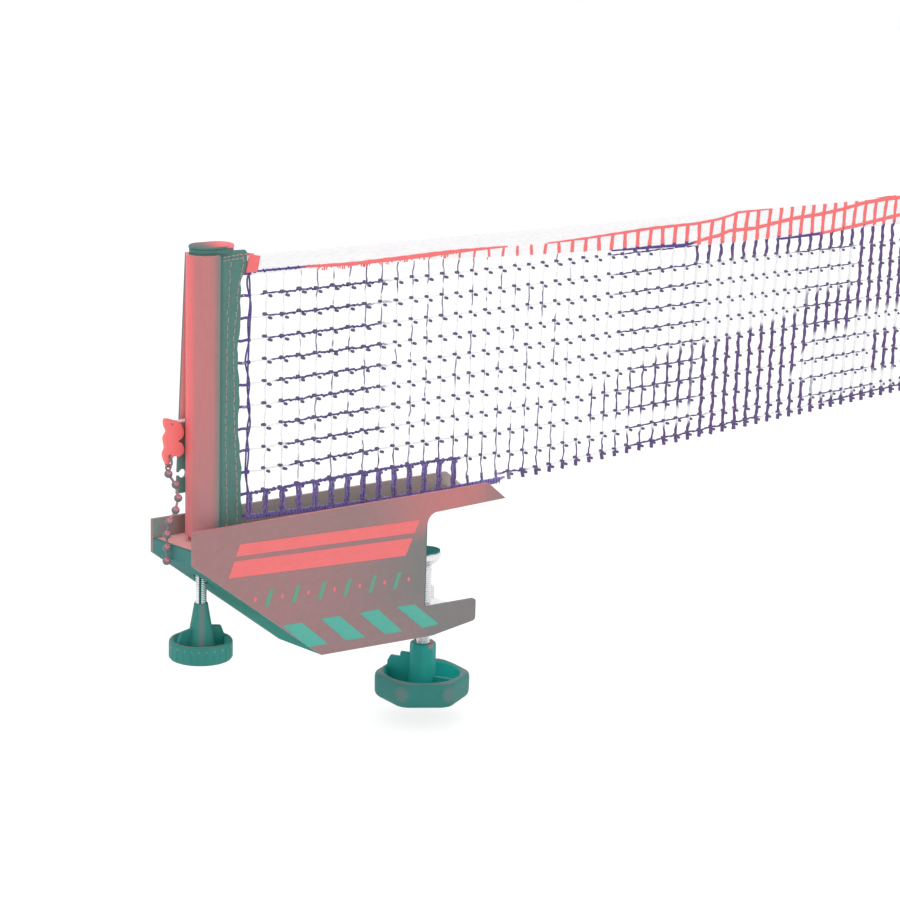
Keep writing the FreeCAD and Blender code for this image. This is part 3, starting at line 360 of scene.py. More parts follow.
def bead_steel():
    """Polished beads: dark, with painted shade underneath and a painted pale red highlight on the upper left
    of each.
    """
    p = Paint("bead_steel")
    up = p.plus(p.times(p.nz, 0.62), p.times(p.nx, -0.2), p.times(p.ny, -0.55))
    colour = p.ramp(up, [(-0.6, (62, 118, 120)), (0.1, (92, 117, 121)), (0.5, (112, 116, 121)),
        (0.66, (150, 122, 128)), (0.76, (226, 128, 140)), (0.88, (116, 116, 121))])
    colour = p.worn(colour, p.noise(1.4, 3), 0.4)
    p.bump(p.noise(3, 2), 0.05, 0.0001)
    return p.done(colour, (0.14, 0.3, 2), specular=0.4)


def knob_plastic(name, colour, top_highlight, turn=0.5, marks=None):
    """Moulded plastic: satin skin with a fine grain, and a painted highlight where it turns up.

    marks(paint, tone) may lay painted light and shade on the tone."""
    p = Paint(name)
    pits = p.noise(2.6, 5)
    tone = p.worn(p.mottled(colour, 0.12, 3, 0.9), pits, 0.35)
    # Painted highlight on faces that turn up.
    tone = p.mix(p.ease(p.nz, 0.62, 0.92, 0, turn), tone, top_highlight)
    if marks:
        tone = marks(p, tone)
    p.bump(pits, 0.16, 0.00025)
    return p.done(tone, (0.36, 0.58, 0.9), specular=0.25, tint=(1, 0.1, 0.1))


def cup_painted_light(p, tone):
    """Painted light: a brighter green inside the cup, where it lies in shade, and painted highlights on two
    of its corners.
    """
    # Painted light inside the cup, brighter green where it lies in shade.
    inside = p.times(p.fall(p.distance(CLAMP_AXIS), 21.9, 22.5), p.ease(p.z, -112, -111.5))
    tone = p.mix(inside, tone, (46, 196, 188))
    # Painted highlights on two of its corners.
    for turn, width in ((202, 4.6), (262, 4.4)):
        corner = CORNER_REACH * cos(radians(turn)), CORNER_REACH * sin(radians(turn))
        parts = p.calc("DIVIDE", p.distance(corner), width), p.calc("DIVIDE", p.plus(p.z, 106.4), 5.2)
        away = p.plus(*[p.times(part, part) for part in parts])
        tone = p.mix(p.ease(away, 0, 1.5, 0.46, 0), tone, (124, 128, 130))
    return tone


def boss_highlight(p, tone):
    """Painted pale red highlight at the top of the boss, towards its right."""
    crown = p.times(p.ease(p.z, -85.4, -83.6), p.within(p.across(0), 3.4, 5.8, 1), 0.7)
    return p.mix(crown, tone, (188, 130, 132))


def hub_painted_light(p, tone):
    """Painted light on the hub, on the floor of the cup and just under the rim."""
    reach = p.distance(LIFT_AXIS)
    across = p.across(LIFT_X)
    # Painted soft upright highlight on the hub.
    hub = p.times(p.fall(reach, 8.4, 8.8), p.fall(p.turned_right(), -0.1, 0),
        p.within(across, -0.4, 2.4, 1.2), 0.62)
    tone = p.mix(hub, tone, (118, 128, 128))
    # Painted light on the floor of the cup, brighter green where it lies in shade.
    floor = p.times(p.fall(reach, 14.4, 14.6), p.ease(p.z, -49.4, -49.8), p.ease(reach, 8.6, 8.9))
    tone = p.mix(floor, tone, (92, 210, 200))
    # Painted highlight on the left of the cup's floor.
    lit = p.times(p.within(reach, 9, 13.6, 1), p.within(across, -12, -5, 1.5), 0.7)
    tone = p.mix(lit, tone, (216, 216, 206))
    # A row of small painted glints just under the rim.
    beat = p.ease(p.calc("SINE", p.times(across, 2 * pi / 3.9)), 0.5, 0.9, 0, 0.36)
    ticks = p.times(p.ease(reach, 16.2, 16.5), p.within(p.z, -52, -50.9, 0.2), beat)
    return p.mix(ticks, tone, (158, 150, 146))


def grained(p, tone, grain, amount, relief, rough, **more):
    """Material with a grain in its tone and as relief of (strength, distance in metres)."""
    p.bump(grain, *relief)
    return p.done(p.worn(tone, grain, amount), rough, **more)


def rubber(name, colour):
    p = Paint(name)
    return grained(p, p.mottled(colour, 0.3, 3, 0.88), p.noise(3.4, 4), 0.4, (0.3, 0.0003),
        (0.7, 0.9, 0.8), specular=0.1)


def felt():
    p = Paint("seat_felt")
    fibre = p.noise(2, 8, p.stretched(1, 0.6, 1.4))
    return grained(p, p.mottled((60, 132, 126), 0.5, 3, 0.85), fibre, 0.7, (0.7, 0.0006),
        (0.86, 0.98, 0.9), specular=0.05, sheen=0.3)


def cloth(name, colour, pitch, strength, spread, second):
    """Plain weave in two colours, with uneven threads."""
    p = Paint(name)
    waves = [p.calc("SINE", p.times(along, 2 * pi / pitch)) for along in (p.x, p.z)]
    over = p.plus(p.times(*waves, 0.5), 0.5)
    slub = p.noise(0.7, 4, p.stretched(0.4, 1, 1.6))
    tone = p.worn(p.mix(p.noise(0.12, 2), colour, second), over, spread)
    tone = p.worn(tone, slub, 0.4)
    p.bump(p.plus(over, p.times(slub, 0.5)), strength, 0.0002)
    return p.done(tone, (0.78, 0.95, 0.5), specular=0.08, sheen=0.1)


def lid_plastic():
    p = Paint("lid_plastic")
    across = p.minus(p.times(p.plus(p.x, 155), 0.72), p.times(p.y, 0.3))
    # Painted light and shade: a painted highlight towards its right end, painted shade towards its left.
    colour = p.ramp(across, [(-10, (114, 122, 124)), (-5.5, (126, 121, 123)), (-2.2, (164, 120, 121)),
        (1.2, (228, 118, 120)), (4, (250, 128, 136)), (9, (250, 126, 134))])
    # Painted shade on its sides, except at the right end.
    side = p.times(p.fall(p.nz, 0.25, 0.6), p.fall(across, 4.6, 7.6))
    colour = p.mix(side, colour, (84, 128, 122))
    colour = p.worn(colour, p.noise(1.6, 4), 0.25)
    p.bump(p.noise(2.4, 4), 0.14, 0.0002)
    return p.done(colour, (0.45, 0.65, 0.7), specular=0.08)


def clip_plastic():
    p = Paint("clip_plastic")
    colour = p.worn(p.mix(p.noise(0.4), (248, 127, 125), (240, 120, 119)), p.noise(1.8, 4), 0.15)
    p.bump(p.noise(1.1, 3), 0.1, 0.0002)
    return p.done(colour, (0.16, 0.3, 0.7), specular=0.35, coat=0.15)


def stripe_ink(name, colour):
    """Printed film: even, with fine scratches and a slightly worn grain."""
    p = Paint(name)
    scratch = p.noise(1, 6, p.stretched(0.15, 1, 2.6))
    return grained(p, p.mottled(colour, 0.2, 3, 0.965), scratch, 0.22, (0.08, 0.0001),
        (0.3, 0.46, 0.6), specular=0.15)


# Near white of the twine's painted highlight, and the twine's own dark colour.
PALE = (252, 252, 253)
DARK = (88, 78, 138)


def twine(name, dark=DARK, share=None):
    """Twisted twine: dark, or from a pale painted highlight to dark where share says."""
    p = Paint(name)
    twist = p.calc("SINE", p.times(p.plus(p.x, p.z, p.times(p.y, 3)), 4.2))
    strands = p.plus(p.times(twist, 0.2), 0.5)
    tone = p.worn(p.mix(p.ease(p.noise(0.9), 0.4, 0.62), dark, (116, 104, 142)), strands, 0.7)
    # Pale twine is a painted highlight that washes it out to near white.
    if share:
        tone = p.mix(share(p), p.worn(light(PALE)[:3], strands, 0.15), tone)
    p.bump(twist, 0.4, 0.0002)
    return p.done(tone, (0.7, 0.9, 0.8), specular=0.06)


def rows_dark(p):
    """Where a row shows dark rather than as a pale painted highlight: near the post, then in two further
    stretches.
    """
    wave = p.times(p.minus(p.noise(0.06, 2), 0.5), 60)
    near = p.fall(p.plus(p.x, wave), -50, -28)
    gap = p.minus(1, p.within(p.plus(p.x, p.times(p.z, 0.22)), -125.5, -94, 1.5))
    low = p.plus(p.times(p.minus(125, p.z), 0.17), 150)
    middle = p.times(p.ease(p.plus(p.minus(p.x, low), wave), -6, 6),
        p.fall(p.plus(p.x, wave, p.times(p.z, 0.1)), 236, 250))
    far = p.within(p.plus(p.x, wave, p.times(p.z, 0.3)), 358, 424, 8)
    total = p.calc("ADD", p.times(near, gap), p.plus(middle, far), clamp=True)
    lowest = p.times(p.fall(p.z, 19.4, 20.4), p.ease(p.x, 50, 56))
    ends = p.plus(p.within(p.x, 170, 298, 4), p.ease(p.x, 364, 372))
    ends = p.calc("ADD", ends, p.within(p.x, 56, 80, 3), clamp=True)
    return p.out("Mix", {0: lowest, 2: total, 3: ends})


def columns_dark(p):
    """Where a column shows dark rather than as a pale painted highlight: a slanted zone low in the middle,
    and one high up far out.
    """
    under = p.fall(p.minus(p.z, p.plus(p.times(p.x, 0.13), 38)), -2, 2)
    gap = p.fall(p.minus(p.z, p.times(p.minus(p.x, 296), 1.2)), -2, 2)
    gap = p.times(gap, p.ease(p.z, 32, 36), p.ease(p.x, 306, 310))
    low = p.times(p.within(p.x, 230, 352, 4), under, p.calc("SUBTRACT", 1, gap, clamp=True))
    high = p.times(p.ease(p.x, 388, 393), p.ease(p.z, 72, 80))
    grid = p.times(p.within(p.x, 340, 392, 4), p.within(p.z, 65, 94, 3))
    left = p.fall(p.minus(p.z, p.plus(p.times(p.x, 0.2), 26)), -3, 3)
    left = p.times(left, p.ease(p.z, 29, 33), p.within(p.x, 128, 228, 4))
    tails = p.times(p.within(p.x, 217, 392, 3), p.ease(p.z, 119, 124))
    loops = p.times(p.within(p.x, -56, 20, 3), p.ease(p.z, 126, 129, 0, 0.8))
    right = p.times(p.ease(p.x, 411, 414), p.within(p.z, 32, 60, 3))
    hang = p.times(p.within(p.x, -42, 106, 4), p.ease(p.z, 32, 38, 0.75, 0))
    thin = p.times(p.within(p.x, -96, 110, 6), p.ease(p.noise(0.075, 2), 0.52, 0.57, 0, 0.8))
    foot = p.times(p.ease(p.x, 60, 90), p.fall(p.z, 18, 22))
    return p.calc("MINIMUM", p.plus(low, high, grid, left, tails, loops, right, hang, thin, foot), 1)


def seam_tone():
    """Seams of the tape: dark twine near the post, salmon further along."""
    p = Paint("tape_seams")
    fray = p.noise(0.8, 4)
    tone = p.mix(p.ease(p.plus(p.x, p.times(fray, 12)), -92, -82), DARK, (246, 124, 125))
    left = p.times(p.within(p.x, 140, 222, 4), p.fall(p.z, 135.6, 136.6))
    right = p.times(p.within(p.x, 300, 352, 5), p.fall(p.z, 133, 134))
    tone = p.worn(p.mix(p.calc("ADD", left, right, clamp=True), tone, (98, 78, 138)), fray, 0.3)
    p.bump(p.noise(1.6, 3), 0.4, 0.0003)
    return p.done(tone, (0.7, 0.9, 0.8), specular=0.06)


# Meshes

class Mesh:
    """Points and faces gathered from several shapes, in millimetres."""

    def __init__(self):
        self.points, self.faces = [], []

    def add(self, points, faces):
        base = len(self.points)
        self.points += [tuple(p) for p in points]
        self.faces += [tuple(base + i for i in f) for f in faces]

    def loft(self, rings, closed=False):
        """Rings of equally many points joined side by side."""
        count = len(rings[0])
        faces = []
        steps = len(rings) if closed else len(rings) - 1
        for k in range(steps):
            a, b = k * count, ((k + 1) % len(rings)) * count
            for i in range(count):
                j = (i + 1) % count
                faces.append((a + i, a + j, b + j, b + i))
        if not closed:
            faces.append(tuple(reversed(range(count))))
            faces.append(tuple(range((len(rings) - 1) * count, len(rings) * count)))
        self.add([p for ring in rings for p in ring], faces)

    def tube(self, line, radius, sides=6):
        """Round tube along a line; radius is a number or a function of (step, angle)."""
        size = radius if callable(radius) else lambda k, a: radius
        line = [Vector(p) for p in line]
        rings = []
        side = None
        for k, point in enumerate(line):
            ahead = (line[min(k + 1, len(line) - 1)] - line[max(k - 1, 0)]).normalized()
            if side is None:
                side = ahead.cross(Vector((0, 1, 0)) if abs(ahead.y) < 0.9 else Vector((1, 0, 0)))
            side = (side - ahead * side.dot(ahead)).normalized()
            other = ahead.cross(side)
            rings.append([point + (side * cos(a) + other * sin(a)) * size(k, a) for a in angles(sides)])
        self.loft(rings)

    def knot(self, centre, half, lean=0):
        """Small drop-shaped body with six sides."""
        x, y, z = centre
        self.loft([[(x + t * half[0], y + cos(a) * r * half[1], z + sin(a) * r * half[2] + t * lean)
            for a in angles(6)] for t, r in ((-1, 0.25), (-0.62, 0.86), (0, 1), (0.62, 0.86), (1, 0.25))])

    def make(self, name, material, body, slot, replaces=(), angle=40):
        mesh = bpy.data.meshes.new(name)
        mesh.from_pydata([(x / 1000, y / 1000, z / 1000) for x, y, z in self.points], [], self.faces)
        turn_outward(mesh)
        return finish(name, mesh, material, body, replaces, angle)


def turn_outward(mesh, weld=0):
    """Turns all faces outward, after joining points that lie closer than weld."""
    shaped = bmesh.new()
    shaped.from_mesh(mesh)
    if weld:
        bmesh.ops.remove_doubles(shaped, verts=shaped.verts, dist=weld)
    bmesh.ops.recalc_face_normals(shaped, faces=shaped.faces)
    shaped.to_mesh(mesh)
    shaped.free()


def linked(name, data):
    """New object in the scene."""
    item = bpy.data.objects.new(name, data)
    bpy.context.scene.collection.objects.link(item)
    return item


def finish(name, mesh, material, body, replaces=(), angle=40):
    """Smooth piece with its material, on its body."""
    mesh.polygons.foreach_set("use_smooth", [True] * len(mesh.polygons))
    mesh.set_sharp_from_angle(angle=radians(angle))
    mesh.materials.clear()
    mesh.materials.append(material)
    piece = linked(name, mesh)
    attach(piece, body)
    if replaces:
        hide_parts(*replaces)
    return piece


def turned(mesh, centre, profile, shape=None, sides=72, ring_shaped=False):
    """Body of revolution about a vertical axis from (radius, height) pairs, closed on its axis.

    shape(angle, radius, height) may change the radius round the axis."""
    cx, cy = centre
    rings = []
    for radius, z in profile:
        reaches = [(a, shape(a, radius, z) if shape else radius) for a in angles(sides)]
        rings.append([(cx + r * cos(a), cy + r * sin(a), z) for a, r in reaches])
    mesh.loft(rings, closed=ring_shaped)


def threaded(mesh, centre, radius, low, high, pitch, depth, sides=20):
    """Screw thread as a helical ridge."""
    cx, cy = centre
    steps = int((high - low) / (pitch / 6))
    rings = []
    for z in evenly(low, high, steps):
        fade = min(1, (z - low) / pitch, (high - z) / pitch)
        ring = []
        for i, angle in enumerate(angles(sides)):
            ridge = 1 - abs(2 * ((z / pitch - i / sides) % 1) - 1)
            r = radius - depth * (1 - min(1, 1.4 * ridge) * fade)
            ring.append((cx + r * cos(angle), cy + r * sin(angle), z))
        rings.append(ring)
    mesh.loft(rings)


# Clamp: CAD nodes with their own finish

steel = turned_steel("turned_steel", 0.6)
finishes = {
    "front_cheek": front_sheet(),
    "rear_cheek": rear_sheet(),
    "end_strip": end_sheet(),
    "post_floor": floor_sheet(),
    "post_guide": knob_plastic("guide_plastic", (186, 128, 128), (206, 130, 130)),
    "height_nut": steel,
    "jaw_angle": jaw_sheet(),
    "seat_liner": felt(),
    "edge_liner": rubber("edge_rubber", (58, 131, 127)),
    "lower_jaw_plate": plated_steel("jaw_plating"),
    "clamp_nut": plated_steel("nut_plating"),
    "pressure_foot": plated_steel("foot_plating"),
    "foot_facing": rubber("foot_rubber", (50, 136, 134)),
    "post_shell": post_sheet(),
    "back_plate": back_sheet(),
    "thrust_plate": steel,
    "screw_ring": steel,
    "chain_ring": turned_steel("ring_steel", 1.4),
    "bead_chain": bead_steel(),
    "net_rod": steel,
}
for node_name, material in finishes.items():
    slots = NODES[node_name].material_slots
    if not len(slots):
        NODES[node_name].data.materials.append(material)
    for holder in slots:
        holder.material = material


# Front cheek: four slanted bars, two long stripes over them, and a row of ticks and dots between

def sheet_patch(mesh, corners, proud=0.12):
    """Thin printed patch on the front cheek; corners are (x, z) pairs in order."""
    count = len(corners)
    cx = sum(c[0] for c in corners) / count
    cz = sum(c[1] for c in corners) / count
    inner = []
    for x, z in corners:
        reach = hypot(x - cx, z - cz)
        pull = 1 - min(0.25, reach) / reach
        inner.append((cx + (x - cx) * pull, cz + (z - cz) * pull))
    points = [(x, FRONT_FACE + 0.02, z) for x, z in corners]
    points += [(x, FRONT_FACE - proud * 0.7, z) for x, z in corners]
    points += [(x, FRONT_FACE - proud, z) for x, z in inner]
    faces = [tuple(range(count)), tuple(range(2 * count, 3 * count))]
    for i in range(count):
        j = (i + 1) % count
        faces.append((i, j, count + j, count + i))
        faces.append((count + i, count + j, 2 * count + j, 2 * count + i))
    mesh.add(points, faces)


bars = Mesh()
BARS_FROM = 159.5
for bar in ([(39.2, -45), (52.8, -45.9), (71.3, -61.4), (57.4, -60.6)],
        [(66.2, -46.2), (79.3, -47.2), (98.5, -63), (84.1, -62.1)],
        [(93.8, -48.4), (107.3, -48.6), (126, -64.9), (113, -64.2)],
        [(121.2, -49.7), (134.8, -50.9), (154, -66), (141.5, -66.1)]):
    sheet_patch(bars, [(x - BARS_FROM, z) for x, z in bar])
bars.make("mint_bars", stripe_ink("mint_ink", (92, 180, 164)), "clamp", "frame")

field = Mesh()
TOP, FOOT = ((-149.2, 4.6), (-22.4, -2.2)), ((-156.6, -12.6), (-32.4, -21.2))
for low, high in ((0, 0.36), (0.5, 1)):
    corners = ((0, low), (1, low), (1, high), (0, high))
    sheet_patch(field, [shifted(TOP[end], FOOT[end], share) for end, share in corners])
field.make("slanted_field", stripe_ink("salmon_ink", (242, 125, 126)), "clamp", "frame")

ticks, dots = Mesh(), Mesh()
PITCH, DROP, PRINT = 18.2, 1.35, 0.1
for k in range(6):
    cx, cz = -129.6 + k * PITCH, -27.8 - k * DROP
    sheet_patch(ticks, [(cx + 0.6, cz + 4.6), (cx + 3.4, cz + 4.5), (cx - 0.2, cz - 4.6),
        (cx - 3, cz - 4.5)], PRINT)
for k in range(7):
    cx, cz = -138.8 + k * PITCH, -27.2 - k * DROP
    sheet_patch(dots, [(cx + cos(a), cz + 1.3 * sin(a)) for a in angles(12)], PRINT)
ticks.make("mint_ticks", stripe_ink("tick_ink", (104, 166, 142)), "clamp", "frame")
dots.make("salmon_dots", stripe_ink("dot_ink", (232, 126, 127)), "clamp", "frame")


# Screws

screw = Mesh()
threaded(screw, CLAMP_AXIS, 4, -84, -34, 1.25, 0.62)
turned(screw, CLAMP_AXIS, [(3.3, -112), (3.3, -83.8)], sides=24)
turned(screw, CLAMP_AXIS, [(2.2, -34.2), (2.6, -33), (3, -31.4), (2.6, -29.4), (1.4, -28.4)], sides=24)
screw.make("clamp_screw_thread", plated_steel("screw_plating"), "clamp_spindle", "steel", ("clamp_screw",),
    angle=60)

lift = Mesh()
threaded(lift, LIFT_AXIS, 3, -57.6, 57, 1, 0.42, sides=16)
turned(lift, LIFT_AXIS, [(2.5, 56.8), (2.5, 62.4), (2, 63)], sides=24)
lift.make("height_screw_thread", plated_steel("lift_plating", LIFT_X), "height_spindle", "steel",
    ("height_screw",), angle=60)


# Round knob of the height screw: fluted wall, ribs inside and a conical hub

FLUTES, FLUTED_FROM = 26, 15.4


def fluted(angle, radius, z):
    """Outer wall with upright flutes."""
    if radius < FLUTED_FROM:
        return radius
    phase = (angle / (2 * pi) * FLUTES) % 1
    groove = max(0, 1 - abs(phase - 0.5) / 0.12)
    return radius - 0.4 * groove * ease(z, -59.2, -57.4) * (1 - ease(z, -50.6, -49.4))


def web(mesh, centre, turn, profile, half, foot):
    """Upright rib from a hub; profile has (distance from the axis, top height) pairs."""
    angle = radians(turn)
    along = Vector((cos(angle), sin(angle), 0))
    across = Vector((-sin(angle), cos(angle), 0))
    rings = []
    for reach, top in profile:
        section = ((-1, foot), (-1, top - 0.4), (-0.6, top), (0.6, top), (1, top - 0.4), (1, foot))
        rings.append([Vector((*centre, 0)) + along * reach + across * side * half + Vector((0, 0, z))
            for side, z in section])
    mesh.loft(rings)


wheel = Mesh()
turned(wheel, LIFT_AXIS, [(3.2, -59.3), (9, -59.3), (15, -59.3), (16.2, -58.9), (16.8, -58),
    (16.8, -54), (16.8, -51), (16.7, -49.8), (16.2, -49.1), (15.2, -49), (14.5, -49.4), (14.2, -50.4),
    (14.1, -56), (13.6, -56.3), (9.6, -56.3), (8.4, -56), (7.8, -54.2), (6.5, -46), (5.1, -38),
    (3.9, -31), (3.7, -29.6), (3.4, -29), (3.1, -29.4)], fluted, sides=156)
wheel_plastic = knob_plastic("wheel_plastic", (50, 140, 132), (64, 136, 128), 0.3, hub_painted_light)
wheel.make("height_knob_body", wheel_plastic, "height_spindle", "knob", ("height_knob",), angle=50)
webs = Mesh()
for turn in (-5, 175):
    web(webs, LIFT_AXIS, turn, [(4.6, -42.2), (6.4, -42.2), (11.8, -43.2), (12.3, -43.8), (14.5, -49.3)],
        0.9, -57.5)
webs.make("height_knob_ribs", knob_plastic("wheel_rib_plastic", (44, 134, 127), (70, 131, 128), 0.4),
    "height_spindle", "knob", angle=35)
rim = Mesh()
turned(rim, LIFT_AXIS, [(14.5, -49.6), (14.5, -49.2), (14.9, -48.95), (15.2, -48.9), (15.2, -49.3)],
    sides=96, ring_shaped=True)


def rim_highlight(p, tone):
    """The lit stretch of the rim's inner edge."""
    front = p.plus(p.times(p.minus(p.x, LIFT_X), VIEW_BACK), p.times(p.y, VIEW_RIGHT))
    return p.mix(p.fall(front, -12.5, -8), tone, (226, 136, 130))


rim_plastic = knob_plastic("wheel_rim_plastic", (60, 134, 127), (84, 132, 127), 0.4, rim_highlight)
rim.make("height_knob_rim", rim_plastic, "height_spindle", "knob")


# Clamp knob: six-sided cup with rounded corners, a stepped rib, a low rib and an eight-sided boss

def six_sided(angle, radius, z):
    """Six flat sides with round corners; radius is half the width across the flats.

    The hollow is round, and the rim changes from one to the other."""
    angle -= radians(22)
    rounding = min(8.9, radius * 0.4)
    half = pi / 6
    away = abs((angle + half) % (pi / 3) - half)
    centre = (radius - rounding) / cos(half)
    limit = atan2((radius - rounding) * tan(half), radius)
    if half - away < limit:
        flat = radius / cos(half - away)
    else:
        flat = centre * cos(away) + sqrt(max(rounding ** 2 - (centre * sin(away)) ** 2, 0))
    if z < -114:
        return flat
    return radius + (flat - radius) * ease(radius, 21.8, 24.4)


cup = Mesh()
turned(cup, CLAMP_AXIS, [(4.2, -115), (10, -115), (22, -114.9), (23.6, -114.4), (24.6, -113.2),
    (25, -111.4), (25.1, -107), (25.1, -103), (24.9, -101.6), (24.4, -100.6), (23.6, -99.95),
    (22.8, -99.8), (22.2, -100.1), (21.85, -100.8), (21.75, -102.2), (21.7, -109.4), (20.8, -110.8),
    (10, -111)], six_sided, sides=144)
cup.make("clamp_knob_body", knob_plastic("cup_plastic", (50, 134, 128), (118, 132, 134), 0.6, cup_painted_light),
    "clamp_spindle", "knob", ("clamp_knob",), angle=45)


def eight_sided(angle, radius, z):
    half = pi / 8
    away = abs((angle + half) % (pi / 4) - half)
    flat = radius / cos(half - min(away, half))
    return min(flat, radius * 1.055)


boss = Mesh()
turned(boss, CLAMP_AXIS, [(4.1, -111.2), (8.6, -111.2), (7.9, -108), (7.5, -100.5), (7.35, -99.6),
    (7.25, -92), (7.2, -84), (6.9, -82.5), (6.2, -82), (4.6, -82), (4.2, -82.4)], eight_sided,
    sides=96)
web(boss, CLAMP_AXIS, 112, [(6, -90), (13.6, -90.1), (13.95, -90.6), (14, -93.2), (20.3, -93.3),
    (20.7, -93.8), (22.2, -96.6)], 1.1, -111.2)
web(boss, CLAMP_AXIS, 292, [(6, -101.8), (22, -101.8)], 1.1, -111.2)
boss.make("clamp_knob_boss", knob_plastic("boss_plastic", (36, 164, 156), (52, 142, 136), 0.5, boss_highlight),
    "clamp_spindle", "knob", angle=35)


# Cap of the post: domed lid over a dark neck

CAP_LENGTH, CAP_ROUND = 9, 8.05


def stadium(inset, z):
    """Outline with two round ends, drawn in by inset."""
    r = CAP_ROUND - inset
    ring = []
    for i in range(64):
        angle = 2 * pi * (i + 0.5) / 64
        centre = POST_X if cos(angle) < 0 else POST_X + CAP_LENGTH
        ring.append((centre + r * cos(angle), r * sin(angle), z))
    return ring


lid = Mesh()
lid.loft([stadium(inset, z) for inset, z in ((1.4, 157.5), (0.35, 157.6), (0, 158), (0, 158.7),
    (0.35, 159.3), (1.2, 159.7), (3, 160), (5.5, 160.15), (7.4, 160.2))])
lid.make("cap_lid", lid_plastic(), "post", "cap", ("post_cap",), angle=50)
neck = Mesh()
neck.loft([stadium(inset, z) for inset, z in ((2.2, 154.9), (0.7, 155), (0.35, 155.6), (0.3, 157.2),
    (0.9, 157.8))])
turned(neck, (POST_X, 0), [(2, 147.6), (7.2, 147.6), (7.9, 148.4), (7.9, 155.2), (2, 155.3)], sides=48)
neck.make("cap_neck", knob_plastic("neck_plastic", (80, 127, 122), (112, 129, 124)), "post", "cap")


# Sleeve on its rod: cloth tube with a wavy free edge, dart-like waves and lines of stitches

SLEEVE_FOOT, SLEEVE_TOP, SLEEVE_LEFT = 8.6, 155, -155.7
EDGE = [(11, -133.6), (17, -133.9), (26.7, -134.7), (30, -135.4), (36, -134.1), (46, -135.5),
    (53, -136.2), (59, -137), (66, -137.7), (72, -136.4), (85, -136.6), (91, -137.3), (97.8, -138),
    (104, -138.1), (110, -137.5), (116.5, -135.6), (122.8, -136.3), (129, -136), (138.4, -136.2),
    (141.4, -134.4), (147.5, -131.9), (150.5, -130.4), (153.9, -130.6), (155, -133)]


def sleeve_edge(z):
    """Free edge of the sleeve, drawn in by the rows of the net."""
    return between(z, EDGE) + 0.35 * sin((z - FIRST_ROW) * 2 * pi / ROW_PITCH)


def sleeve_half(x, z):
    """Half the thickness of the sleeve at a place."""
    round_part = sqrt(max(4.9 ** 2 - (x + 151) ** 2, 0.04))
    flat_part = between(x, [(-151, 4.9), (-146.5, 3.7), (-142, 2.5), (-136, 1.35), (-131, 1)])
    ripple = 0.16 * sin(z * 0.55 + x * 0.35) + 0.1 * sin(z * 1.3 - x * 0.6)
    half = flat_part if x > -148.6 else max(round_part, 0.5)
    seam = exp(-((x + 144.9) / 0.7) ** 2) * 0.3
    return max(half + ripple * ease(x, -152, -146) - seam, 0.5)


sleeve = Mesh()
rings = []
for z in evenly(SLEEVE_FOOT, SLEEVE_TOP, 60):
    right = sleeve_edge(z)
    xs = [SLEEVE_LEFT + (right - SLEEVE_LEFT) * (i / 26) ** 0.92 for i in range(27)]
    front = [(x, -sleeve_half(x, z) if 0 < i < 26 else 0, z) for i, x in enumerate(xs)]
    back = [(x, sleeve_half(x, z), z) for x in reversed(xs[1:-1])]
    rings.append(front + back)
sleeve.loft(rings)
sleeve_weave = cloth("sleeve_weave", (94, 133, 126), 0.9, 0.7, 0.35, (86, 131, 124))
sleeve_piece = sleeve.make("sleeve_cloth", sleeve_weave, "post", "sleeve", ("net_sleeve",), angle=60)

stitches = Mesh()
LEFT_SEAM = [(20, -146.6), (60, -148.2), (125, -147), (138, -145.6), (150, -144.6)]
RIGHT_SEAM = [(18, -138.4), (35, -138.9), (55, -140.4), (70, -141.4), (85, -141.4), (95, -142),
    (112, -142), (125, -139.6), (134, -139.4), (143, -136.4), (150, -135)]
for line, phase in ((LEFT_SEAM, 0), (RIGHT_SEAM, 1.7)):
    z = 9.6 + phase
    while z < 149.5:
        length = 3 + 0.5 * sin(z * 3.1)
        for side in (-1, 1):
            run = []
            for t in (0, 0.2, 0.5, 0.8, 1):
                zz = z + t * length
                x = between(zz, line) + 0.25 * sin(zz * 0.9)
                lift = 0.14 * sin(pi * t) - 0.02
                run.append((x, side * (sleeve_half(x, zz) + lift), zz))
            stitches.tube(run, 0.3, 5)
        z += length + 1.1
for zz, ends in ((152.9, (-151, -134)), (151, (-151, -134.5))):
    x = ends[0]
    while x < ends[1]:
        for side in (-1, 1):
            run = [(x + t * 2.4, side * (sleeve_half(x + t * 2.4, zz) + 0.1 * sin(pi * t)), zz)
                for t in (0, 0.3, 0.7, 1)]
            stitches.tube(run, 0.3, 5)
        x += 3.3
stitch_thread = cloth("stitch_thread", (190, 168, 160), 0.6, 0.4, 0.3, (176, 156, 149))
stitches_piece = stitches.make("sleeve_stitches", stitch_thread, "post", "sleeve")


# Net: rows and columns of twine with two small knots at each crossing

COLUMNS = [-118.6 + 11.5 * i for i in range(52)]
ROWS_START, ROWS_END, LOWEST_START = -134.5, 481.5, 56
# Heights of the tape's lower edge and of the lowest row
tape_foot = polyline([(-60, 141.6), (0, 140.4), (60, 137.6), (160, 134.9), (200, 134), (240, 132.2),
    (360, 132.4), (400, 134), (492, 134.6)])
lowest_row = polyline([(-20, 13.7), (40, 10.4), (92, 8.9), (160, 11.2), (372, 16), (442, 17.9),
    (492, 18.6)])


def row_height(k, x):
    """Height of a row of the net, 0 to 11 from its foot; the rows sag beside the post."""
    if k == 11:
        return tape_foot(x) + 1
    if k == 0:
        return lowest_row(x)
    near, far = FIRST_ROW + ROW_PITCH * k, 22.2 + 12.4 * (k - 1)
    dip = 4.2 * exp(-((x - 92) / 70) ** 2) * exp(-(k - 1) / 1.6)
    return near + (far - near) * ease(x, -20, 380) - dip


